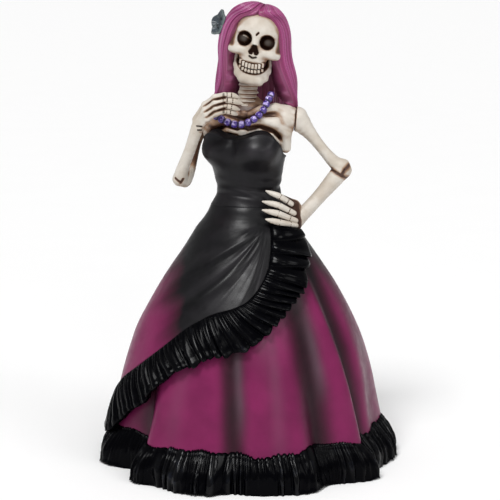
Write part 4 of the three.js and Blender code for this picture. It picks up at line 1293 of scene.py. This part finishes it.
def build_side_hair(side, name, seed):
    u, v = open_grid(260, 190)
    *_, edge = HAIR(v)
    edge = edge - side * 9 * hill(v, 0.3, 0.16)
    angle = edge + (HAIR_BACK_ANGLE - edge) * u
    drift = 0.05 * np.sin(v * 5 + seed) + 0.02 * wobble(v * 6, seed + 3)
    flow = u + drift * (1 - v)
    crest = strands(flow, seed)
    roll = 1 - smooth(u, 0.0, 0.07 + 0.07 * smooth(v, 0.8, 0.9))  # the front edge curls under
    puff = (0.7 if side < 0 else -0.2) * smooth(v, 0.8, 0.94) * (1 - smooth(v, 0.96, 1))
    roll = roll * (1 - 0.45 * smooth(v, 0.8, 0.9))
    out = (crest - 0.6) * 1.3 * (1 - 0.6 * smooth(v, 0.75, 0.95)) - 2.2 * roll**1.6 + puff
    tips = 0.02 * wobble(u * 16, seed + 5) * (1 - smooth(v, 0.0, 0.08))
    # beside the jaw the lock is thick, so that its front closes in towards the neck
    wall = HAIR_WALL + 6.0 * (1 - smooth(u, 0.04, 0.5)) * smooth(v, 0.56, 0.36) * smooth(v, 0, 0.1)
    under = np.minimum(out - 0.6, -wall)
    grids = [hang(hair_point(side, angle, v, o)) + tips[..., None] * [0, 0, 40] for o in (out, under)]
    # painted shade: a brown band along the front edge near the face, and on the inner faces
    near_face = 0.5 * (1 - smooth(u, 0.0, 0.1)) * smooth(v, 1.0, 0.7)
    within = 0.45 + 0.4 * smooth(u, 0.0, 0.4)
    grids += [near_face, within, crest, flow]
    if side < 0:  # keeps the columns anticlockwise
        grids = [grid[:, ::-1] for grid in grids]
    outer, inner, near_face, within, crest, flow = grids
    points, faces = shell(outer, inner, False)
    looks = {"strand": walls(crest), "shade": walls(near_face, within), "flow": walls(flow * 60)}
    make_piece(f"{name}_locks", points, faces, HAIR_PAINT, [f"{name}_hair"], "hair_pink", **looks)


BACK_HAIR_FOOT = 164
BACK_HAIR_TOP = 249.4
# Rows are height, centre x, centre y, half width and half depth.
BACK_HAIR = track([
    [BACK_HAIR_FOOT, 2, 18.5, 11, 1.6],
    [168, 2, 18.8, 15, 2.6],
    [178, 2, 19, 18.4, 3.3],
    [190, 2, 18.6, 20.4, 3.7],
    [203, 2.4, 15.8, 21.4, 5],
    [215, 2.6, 12.6, 20.4, 6.6],
    [228, 3, 10.4, 18.6, 8.6],
    [238, 4, 8, 15.8, 10],
    [245, 5, 5, 11, 9.6],
    [248.4, 5.3, 4, 5.6, 6.4],
    [BACK_HAIR_TOP, 5.4, 3.6, 1.5, 2],
])


def build_back_hair():
    turn, v = closed_grid(420, 190)
    z = BACK_HAIR_FOOT + (BACK_HAIR_TOP - BACK_HAIR_FOOT) * (1 - (1 - v) ** 1.4)
    cx, cy, width, depth = BACK_HAIR(z)
    u = turn / (2 * np.pi)
    drift = 0.03 * np.sin(v * 6) * np.sin(turn / 2)
    crest = strands(2 * (u + drift), 71)
    out = (crest - 0.6) * 1.5 * smooth(1 - v, 0, 0.1)
    tips = 1.4 * wobble(turn * 7, 75) * (1 - smooth(v, 0, 0.05))
    x = cx + np.maximum(width + out, 0.3) * np.sin(turn)
    y = cy - np.maximum(depth + out * 0.8, 0.3) * np.cos(turn)
    points, faces = capped(np.stack([x, y, z + tips], -1))
    strand = np.append(crest.ravel(), [0, 0.5])
    # painted shade on the front of the back hair, behind the head
    shade = np.append(0.6 * smooth(np.cos(turn), 0.2, 0.7).ravel(), [1, 0])
    flow = np.append(((u + drift) * 150).ravel(), [0, 0])
    looks = {"strand": strand, "shade": shade, "flow": flow}
    make_piece("back_locks", points, faces, HAIR_PAINT, ["back_hair"], "hair_pink", **looks)


# ----------------------------------------------------------------------------------------------
# Rose at her right temple

ROSE_CENTRE = np.array([-14.4, 2.6, 238.6])
ROSE_FACING = np.array([-0.78, -0.55, 0.3]) / np.linalg.norm([0.78, 0.55, 0.3])
ROSE_RADIUS = 7.2
PETALS = 5


def rose_axes():
    across = np.cross(ROSE_FACING, [0.0, 0.0, 1.0])
    across /= np.linalg.norm(across)
    return across, np.cross(across, ROSE_FACING)


def on_rose(x, y, z):
    across, up = rose_axes()
    return ROSE_CENTRE + x[..., None] * across + y[..., None] * up + z[..., None] * ROSE_FACING


def build_petal(number):
    u, v = open_grid(40, 28, -1, 1)
    turn = 2 * math.pi * number / PETALS + 0.3 + u * math.radians(47) * (0.7 + 0.3 * v)
    round_off = 1 - (0.34 * np.abs(u) ** 2.2 - 0.03 * np.cos(u * 7)) * v
    reach = (1.2 + (ROSE_RADIUS - 1.2) * v) * round_off
    side = 1 if number % 2 else -1
    cup = 3.6 * v**1.7 - 0.6 + 0.8 * np.cos(u * 1.5) * v + 0.5 * side * u * v
    cup = cup + 1.8 * np.maximum(-np.cos(turn), 0) * v  # clear of the hair
    cup = cup - 1.6 * smooth(v, 0.72, 1.0) + 0.12 * np.cos(u * 18) * v * (1 - v) * 2
    thick = 1.7 - 0.7 * smooth(v, 0.75, 1)
    across, up = reach * np.cos(turn), reach * np.sin(turn)
    points, faces = shell(on_rose(across, up, cup + thick), on_rose(across, up, cup), False)
    # painted shade deep in the flower towards each petal's foot, and on the petals' undersides
    darkened = 0.95 * (1 - smooth(v, 0.1, 0.55)) + 0.25 * (1 - v)
    rim = smooth(v, 0.8, 0.95) + smooth(np.abs(u), 0.8, 0.97) * v
    looks = {"wash": walls(darkened, 0.6), "tip": walls(np.clip(0.55 * rim, 0, 1), 0.0)}
    name = f"rose_petal_{number + 1}"
    make_piece(f"{name}_modelled", points, faces, ROSE, [name], "rose_slate", **looks)


def build_bud():
    """Three rolled inner leaves drawn as one spiral lump."""
    turn, v = closed_grid(60, 30)
    swirl = 0.5 + 0.5 * np.cos(2 * (turn + 3.4 * v))
    radius = (3.4 - 0.8 * v - 1.9 * smooth(v, 0.72, 1)) * (0.86 + 0.14 * swirl)
    height = -0.8 + 4.6 * v - 1.4 * smooth(v, 0.85, 1)
    points, faces = capped(on_rose(radius * np.cos(turn), radius * np.sin(turn), height))
    # painted shade in the folds between the rolled leaves
    wash = np.append((0.9 - 0.8 * swirl * smooth(v, 0.2, 0.7)).ravel(), [1, 0.9])
    make_piece("rose_heart", points, faces, ROSE, ["rose_bud"], "rose_slate", wash=wash, tip=wash * 0)


# ----------------------------------------------------------------------------------------------
# Arms and hands. Stations are centre and radius.

LEFT_UPPER_ARM = [
    (25.2, -5.6, 188.8, 6.3),
    (27.6, -5.6, 186.0, 5.3),
    (31.2, -5.5, 182.0, 3.9),
    (36.2, -5.3, 175.9, 3.0),
    (41.0, -5.0, 170.0, 3.0),
    (45.2, -4.8, 165.4, 3.5),
    (48.8, -4.6, 162.4, 4.2),
]
LEFT_FOREARM = [
    (48.4, -5.0, 159.0, 4.8),
    (44.4, -5.9, 154.4, 4.4),
    (38.6, -7.2, 147.8, 3.8),
    (33.0, -8.8, 141.8, 3.7),
    (28.4, -10.0, 137.2, 3.9),
    (23.6, -10.8, 131.8, 4.1),
]
LEFT_KNOBS = [[(50.6, -4.8, 163.0, 3.6), (51.4, -4.8, 160.6, 3.8)]]
RIGHT_UPPER_ARM = [
    (-23.8, 5.4, 187.2, 5.5),
    (-27.0, 4.6, 182.8, 4.3),
    (-29.4, 3.0, 176.4, 3.4),
    (-31.6, 0.4, 167.0, 3.2),
    (-33.6, -2.6, 159.0, 3.5),
    (-34.6, -4.4, 155.8, 3.4),
]
RIGHT_FOREARM = [
    (-37.8, -7.6, 156.4, 3.8),
    (-36.8, -9.6, 160.4, 3.5),
    (-34.6, -12.4, 166.4, 3.1),
    (-32.0, -15.8, 173.0, 3.0),
    (-29.8, -18.6, 179.6, 3.1),
    (-27.8, -20.6, 185.4, 3.4),
]
RIGHT_KNOBS = [[(-38.0, -7.4, 156.0, 3.4), (-35.4, -5.6, 154.0, 2.7)]]
# Root, knuckle and tip of each finger
LEFT_FINGERS = {
    "index": [(22.2, -15.5, 143.7), (16.0, -18.0, 148.0), (8.2, -16.2, 151.0)],
    "middle": [(23.6, -16.4, 138.8), (15.0, -20.6, 143.7), (6.2, -18.6, 145.6)],
    "ring": [(24.5, -16.8, 134.8), (14.6, -22.4, 139.6), (6.2, -22.4, 141.5)],
    "little": [(24.6, -16.8, 132.2), (15.5, -23.2, 134.9), (8.0, -24.8, 136.9)],
    "thumb": [(27.2, -5.6, 139.6), (25.8, 0.6, 141.2), (22.4, 6.2, 142.6)],
}
RIGHT_FINGERS = {
    "index": [(-13.2, -28.6, 203), (-9.4, -28.4, 202.8), (-5.4, -25.8, 201.2)],
    "middle": [(-13.2, -29.2, 200.2), (-8.8, -29, 199.8), (-3.4, -25.6, 198)],
    "ring": [(-13.2, -29.2, 197.4), (-9.4, -28.8, 196.6), (-5.2, -25.8, 195)],
    "little": [(-13.2, -28.6, 194.6), (-10, -28, 194), (-6.4, -25.4, 192.4)],
    "thumb": [(-21, -22.4, 192), (-17.4, -20.6, 194.6), (-13.6, -18.8, 195.6)],
}
# The four bones across the back of her right hand, each from the wrist to the root of a finger
RIGHT_STRIPS = [
    [
        (-28.6, -19.4, 189.6, 1.9),
        (-23.6, -23.6, 197.4, 1.75),
        (-18.4, -26.8, 201.6, 1.6),
        (*RIGHT_FINGERS["index"][0], 1.55),
    ],
    [
        (-28.2, -21, 188, 1.9),
        (-23.4, -25.6, 195, 1.75),
        (-18.2, -28.2, 198.8, 1.6),
        (*RIGHT_FINGERS["middle"][0], 1.5),
    ],
    [
        (-27.4, -22, 186.8, 1.9),
        (-22.8, -26.6, 192.6, 1.7),
        (-18, -28.6, 196, 1.5),
        (*RIGHT_FINGERS["ring"][0], 1.5),
    ],
    [
        (-26.4, -22, 185.8, 1.8),
        (-22.2, -26.2, 190.4, 1.6),
        (-17.8, -28, 193.4, 1.5),
        (*RIGHT_FINGERS["little"][0], 1.45),
    ],
]


WRIST_CUT = 25.2  # flat end of her left arm at the wrist
WRIST_TOP = 150  # the upper arm above this height isn't cut


def build_arm(name, stations, knobs, box, nodes, lines, darkened, cut=False):
    """An arm of two melted bones with painted brown lines over it. Her left one is cut flat at the
    shoulder and at the wrist."""

    def field(p):
        total = run(p, stations[0])
        for more in stations[1:]:
            total = melt(total, run(p, more), 0.9)
        for knob in knobs:
            total = melt(total, chain(p, knob, 1), 1.8)
        total = grooved(total, p, lines, 0.3, 0.4)
        if cut:
            total = np.maximum(total, ARM_CUT - past_shoulder(p))
            total = np.maximum(total, np.minimum(WRIST_CUT - p[..., 0], WRIST_TOP - p[..., 2]))
        return total

    points, faces, wash = modelled(field, *box, step=0.42)
    painted = near_lines(points, lines, 1.1) * 0.55
    thin = near_lines(points, lines, 0.5) * 0.3
    wash = np.clip(wash * 1.1 + darkened(points) + painted, 0, 1)
    make_bones(name, (points, faces), nodes, wash, thin)


def on_surface(stations, path, facing=(0, -1, 0)):
    """Moves the points of a painted line along facing onto the surface of the bones."""
    result = []
    for start in np.asarray(path, float):
        reach = np.linspace(0, 10, 400)
        along = start + reach[:, None] * np.asarray(facing, float)
        inside = np.min([chain(along, s, 0.15) for s in stations], 0) < 0
        result.append(tuple(along[np.argmax(~inside)]))
    return result


def build_left_arm():
    stations = [LEFT_UPPER_ARM, LEFT_FOREARM]
    every = [*stations, *LEFT_KNOBS]
    joint = [(43.4, -4.8, 161.6), (46.4, -4.8, 159.9), (49.4, -4.8, 158.2), (52.6, -4.8, 156.8)]
    knob = [(49.4, -4.8, 158.6), (50.8, -4.8, 161.2), (53.4, -4.8, 163.6)]
    lines = [on_surface(every, path, (0, side, 0)) for path in (joint, knob) for side in (-1, 1)]

    def darkened(p):
        shoulder = 0.8 * smooth(p[:, 0] + 0.1 * (188 - p[:, 2]), 25.0, 24.4)
        elbow = 0.25 * hill(length((p - [52.6, -4.8, 162]) * [1, 0.3, 1]), 0, 2.6)
        wrist = 0.8 * smooth(p[:, 0], 26.4, 25.3) * (p[:, 2] < WRIST_TOP)
        return shoulder + elbow + wrist + 0.3 * near_lines(p, lines, 2.4)

    box = ((18, -17, 124), (58, 2, 196))
    nodes = ["left_upper_arm", "left_forearm"]
    build_arm("left_arm_bones", stations, LEFT_KNOBS, box, nodes, lines, darkened, cut=True)


def build_right_arm():
    stations = [RIGHT_UPPER_ARM, RIGHT_FOREARM]
    every = [*stations, *RIGHT_KNOBS]
    marks = [[(-40.0, -8, 157.0), (-38.2, -8, 155.4)], [(-37.4, -8, 154.6), (-36.0, -8, 156.6)]]
    lines = [on_surface(every, mark) for mark in marks]

    def darkened(p):
        # painted shade on the upper arm, behind the forearm
        behind = smooth(p[:, 1] + 0.45 * (p[:, 2] - 154), -3.0, 3.0)
        return 0.7 * behind * smooth(p[:, 1], 9, -2)

    box = ((-45, -26, 147), (-16, 13, 196))
    nodes = ["right_upper_arm", "right_forearm"]
    build_arm("right_arm_bones", stations, RIGHT_KNOBS, box, nodes, lines, darkened)


def finger_stations(joints, radius, pointed):
    root, knuckle, tip = (np.array(j, float) for j in joints)
    middle = knuckle + (tip - knuckle) * 0.55
    last = knuckle + (tip - knuckle) * 0.94
    spots = [root, (root + knuckle) / 2, knuckle, middle, last]
    swell = [0.92, 0.98, 1.04, 0.84, pointed]
    return [(*spot, radius * size) for spot, size in zip(spots, swell)]


def joint_ring(joints, radius, share, facing):
    """A short painted line across a finger."""
    root, knuckle, tip = (np.array(j, float) for j in joints)
    a, b = (root, knuckle) if share < 1 else (knuckle, tip)
    centre = a + (b - a) * (share % 1)
    along = (b - a) / np.linalg.norm(b - a)
    side = np.cross(along, facing)
    side /= np.linalg.norm(side)
    out = np.asarray(facing, float) * radius * 0.85
    return [tuple(centre + side * radius * s + out * (1 - 0.5 * s * s)) for s in (-0.8, 0, 0.8)]


def build_left_hand():
    def behind(joints):
        """The hand behind one finger, from its root nearly to its knuckle."""
        root, knuckle, _ = (np.array(j) for j in joints)
        back = np.array([0.0, 2.6, 0.0])
        return [(*(root + back + [1.2, 0.6, 0]), 1.9), (*(root + (knuckle - root) * 0.85 + back), 1.5)]

    backs = [behind(joints) for name, joints in LEFT_FINGERS.items() if name != "thumb"]
    backs.append([(24.8, -13.4, 143.0, 1.9), (24.6, -13.6, 131.4, 1.9)])
    backs.append([(20, -17.6, 131.6, 1.4), (25, -13.8, 130.6, 1.6)])
    thumb = [(25.8, -10.4, 141.4, 2.0), (*LEFT_FINGERS["thumb"][0], 1.7)]

    def field(p):
        total = chain(p, thumb, 1)
        for back in backs:
            total = melt(total, chain(p, back, 1), 2.4)
        return total

    points, faces, wash = modelled(field, (11, -23, 125), (31, -1, 149), step=0.36)
    # the palm is painted dark brown as shade seen between the fingers, darkest towards the front
    front = smooth(points[:, 1] + 0.3 * (points[:, 0] - 20), -11.5, -14)
    wash = np.clip(wash + 0.35 + 0.6 * front, 0, 1)
    make_bones("left_palm_bones", (points, faces), ["left_palm"], wash, 0.55 * front)
    build_fingers("left", LEFT_FINGERS, 1.62, (0.0, -1.0, 0.15), (0.0, -0.2, 1.0))


def build_fingers(side, fingers, radius, facing, thumb_facing):
    for name, joints in fingers.items():
        if name == "thumb":
            build_finger(f"{side}_thumb", joints, radius, thumb_facing)
        else:
            build_finger(f"{side}_{name}_finger", joints, radius, facing)


def build_finger(name, joints, radius, facing):
    stations = finger_stations(joints, radius, 0.3)
    spots = np.array(joints, float)
    low, high = spots.min(0) - radius - 1.2, spots.max(0) + radius + 1.2
    rings = [joint_ring(joints, radius, share, facing) for share in (0.3, 0.95)]

    def field(p):
        return grooved(run(p, stations), p, rings, 0.2, 0.3)

    points, faces, wash = modelled(field, low, high, step=0.26)
    facing = np.asarray(facing, float)
    nearest = np.min([limb(points, a, b, 0, 0) for a, b in pairs(spots)], 0)
    middle = np.stack([np.interp(points[:, 0], *sorted_track(spots, k)) for k in (1, 2)], -1)
    # painted shade on the side of each finger turned away from facing
    tilt = ((points[:, 1:] - middle) @ facing[1:]) / np.maximum(nearest, 1e-6)
    wash = np.clip(wash * 0.6 + smooth(tilt, 0.45, -0.15) * 0.9, 0, 1)
    line = near_lines(points, rings, 0.42) * 0.85
    make_bones(f"{name}_bones", (points, faces), [name], wash, line)


def sorted_track(spots, axis):
    order = np.argsort(spots[:, 0])
    return spots[order, 0], spots[order, axis]


def build_right_hand():
    wrist = [(-27.6, -20.4, 185, 3.4), (-27.2, -20.6, 188.6, 2.6)]
    back = [(-25.4, -22.4, 190, 2.4), (-20, -25.6, 195.4, 2.2), (-15, -27, 198.6, 1.6)]
    thumb = [(-25, -21.6, 189.4, 1.8), (*RIGHT_FINGERS["thumb"][0], 1.4)]
    fillings = [(wrist, 1.5, 1.6), (back, 1.5, 1.0), (thumb, 1, 1.0)]

    def field(p):
        total = None
        for strip in RIGHT_STRIPS:
            part = chain(p, strip, 1.2)
            total = part if total is None else melt(total, part, 0.5)
        return melted(total, [(chain(p, stations, k), blend) for stations, k, blend in fillings])

    points, faces, wash = modelled(field, (-33, -33, 181), (-10.5, -15, 206.5), step=0.34)
    lines = []
    for upper, lower in pairs(RIGHT_STRIPS):
        between = [(np.array(a[:3]) + np.array(b[:3])) / 2 for a, b in zip(upper, lower)]
        lines.append([tuple(spot + np.array([0, -1.2, 0.2])) for spot in between[1:]])
    knuckle = [(-13.8, -30.0, z) for z in (194.0, 197.0, 200.4, 203.6)]
    line = np.maximum(near_lines(points, lines, 0.95) * 0.8, near_lines(points, [knuckle], 0.9) * 0.7)
    ticks = [[(-28.0, 0, 186.4), (-25.4, 0, 186.2)], [(-28.6, 0, 184.2), (-25.6, 0, 184.2)]]
    line = np.maximum(line, near_lines(flat(points), ticks, 0.6) * (points[:, 1] < -21))
    wash = np.clip(wash * 1.2 + 0.3 * near_lines(points, lines, 1.6), 0, 1)
    make_bones("right_palm_bones", (points, faces), ["right_palm"], wash, line)
    build_fingers("right", RIGHT_FINGERS, 1.42, (0.0, -0.94, 0.34), (0.0, -0.94, 0.34))


# ----------------------------------------------------------------------------------------------
# Necklace

# From her right collar bone, behind the hand, round under the neck and up under the hair
NECKLACE = [
    (-14, -5.2, 198.4),
    (-17.2, -8, 197.2),
    (-19.6, -11, 194.6),
    (-18.8, -13.6, 191.4),
    (-15, -15.8, 189),
    (-9.6, -17.2, 187),
    (-4, -17, 186.8),
    (1.4, -16, 188.6),
    (6, -14.2, 192.6),
    (9, -11.4, 197.6),
    (11.2, -7, 201.4),
]
BEAD_RADIUS = 2.1
BEAD_PITCH = 3.35


def bead(spot, along, number):
    """A bead threaded along a direction, as a mesh, with where its highlight and its shade are painted.
    """
    turn, v = closed_grid(32, 22)
    v = 0.02 + 0.96 * v
    wide = np.cross(along, [0.0, 1.0, 0.15])
    wide /= np.linalg.norm(wide)
    deep = np.cross(along, wide)
    lobes = 0.93 + 0.07 * np.cos(3 * turn + number * 1.3)
    radius = BEAD_RADIUS * np.sin(np.pi * v) ** 0.7 * lobes
    step = BEAD_RADIUS * 0.98 * -np.cos(np.pi * v)
    body = spot + step[..., None] * along + (radius * np.cos(turn))[..., None] * wide
    points, faces = capped(body + (radius * np.sin(turn))[..., None] * deep)
    local = points - spot
    # painted lilac highlight on the side towards the light, painted shade at the ends where beads meet
    front = smooth(local @ [-0.35, -0.7, 0.6], 0.3, 1.3)
    return (points, faces), front, smooth(np.abs(local @ along), 1.05, 1.6) * 0.9


def build_necklace():
    total = np.linalg.norm(np.diff(resampled(NECKLACE, 200), axis=0), axis=1).sum()
    spots = resampled(NECKLACE, round(total / BEAD_PITCH))
    forward = np.gradient(spots, axis=0)
    forward /= np.linalg.norm(forward, axis=1)[:, None]
    beads = [bead(spot, along, i) for i, (spot, along) in enumerate(zip(spots, forward))]
    parts, fronts, grooves = zip(*beads)
    looks = {"front": np.concatenate(fronts), "groove_shade": np.concatenate(grooves)}
    make_piece("beads", *joined(parts), BEADS, ["bead_necklace"], "beads_purple", **looks)


# ----------------------------------------------------------------------------------------------
# Everything together


def build_figure():
    build_skirt()
    build_hem_ruffle()
    build_wrap_panel()
    build_wrap_ruffle()
    build_bodice()
    build_chest()
    build_neck()
    build_cranium()
    build_jaw()
    build_teeth()
    build_side_hair(1, "left_side", 3)
    build_side_hair(-1, "right_side", 8)
    build_back_hair()
    for number in range(PETALS):
        build_petal(number)
    build_bud()
    build_left_arm()
    build_right_arm()
    build_left_hand()
    build_right_hand()
    build_necklace()


def paint_armature():
    paints = {"base_board": WOOD, "armature_dowel": WOOD}
    paints.update({name: WIRE for name in ("neck_wire", "left_arm_wire", "right_arm_wire")})
    for name, material in paints.items():
        mesh = bpy.data.objects[name].data
        mesh.materials.clear()
        mesh.materials.append(material)


def aim(thing, direction):
    thing.rotation_euler = direction.to_track_quat("-Z", "Y").to_euler()


FLOOR_HALF = 60.0
FLOOR_DROP = 0.0002  # keeps the floor clear of the board's underside


def build_floor():
    z = CAD_BOX[0][2] - FLOOR_DROP
    corners = [(FLOOR_HALF * x, FLOOR_HALF * y, z) for x, y in ((-1, -1), (1, -1), (1, 1), (-1, 1))]
    mesh = bpy.data.meshes.new("floor")
    mesh.from_pydata(corners, [], [(0, 1, 2, 3)])
    mesh.materials.append(FLOOR)
    add_object("floor", mesh)


def add_softbox(place, target, size, power):
    light = bpy.data.lights.new("softbox", "AREA")
    light.shape = "DISK"
    light.size = size
    light.energy = power
    lamp = add_object("softbox", light)
    lamp.location = place
    aim(lamp, Vector(target) - Vector(place))


def add_sun(name, place, strength, spread):
    """A soft far light shining from place towards the figure."""
    light = bpy.data.lights.new(name, "SUN")
    light.energy = strength
    light.angle = math.radians(spread)
    lamp = add_object(name, light)
    aim(lamp, -Vector(place))


def light_studio():
    add_sun("key", (-0.4, -0.75, 1.2), strength=2.08, spread=20)
    add_sun("fill", (0.9, -0.7, 0.9), strength=0.45, spread=24)
    add_softbox((0.2, -0.75, 0.55), target=(0, 0, 0.15), size=0.2, power=0.8)
    world = bpy.data.worlds.new("studio")
    world.use_nodes = True
    background = world.node_tree.nodes["Background"]
    background.inputs["Color"].default_value = (1, 1, 1, 1)
    background.inputs["Strength"].default_value = 0.4
    bpy.context.scene.world = world
    bpy.context.scene.view_settings.view_transform = "Standard"


CAMERA_PLACE = Vector((0, -0.8, 0.26))
CAMERA_AIM = Vector((0, 0, 0.11575))
LENS = 106.26
SENSOR_WIDTH = 36


def add_camera():
    lens = bpy.data.cameras.new("camera")
    lens.lens = LENS
    lens.sensor_width = SENSOR_WIDTH
    camera = add_object("camera", lens)
    camera.location = CAMERA_PLACE
    aim(camera, CAMERA_AIM - CAMERA_PLACE)
    bpy.context.scene.camera = camera


build_figure()
paint_armature()
build_floor()
light_studio()
add_camera()
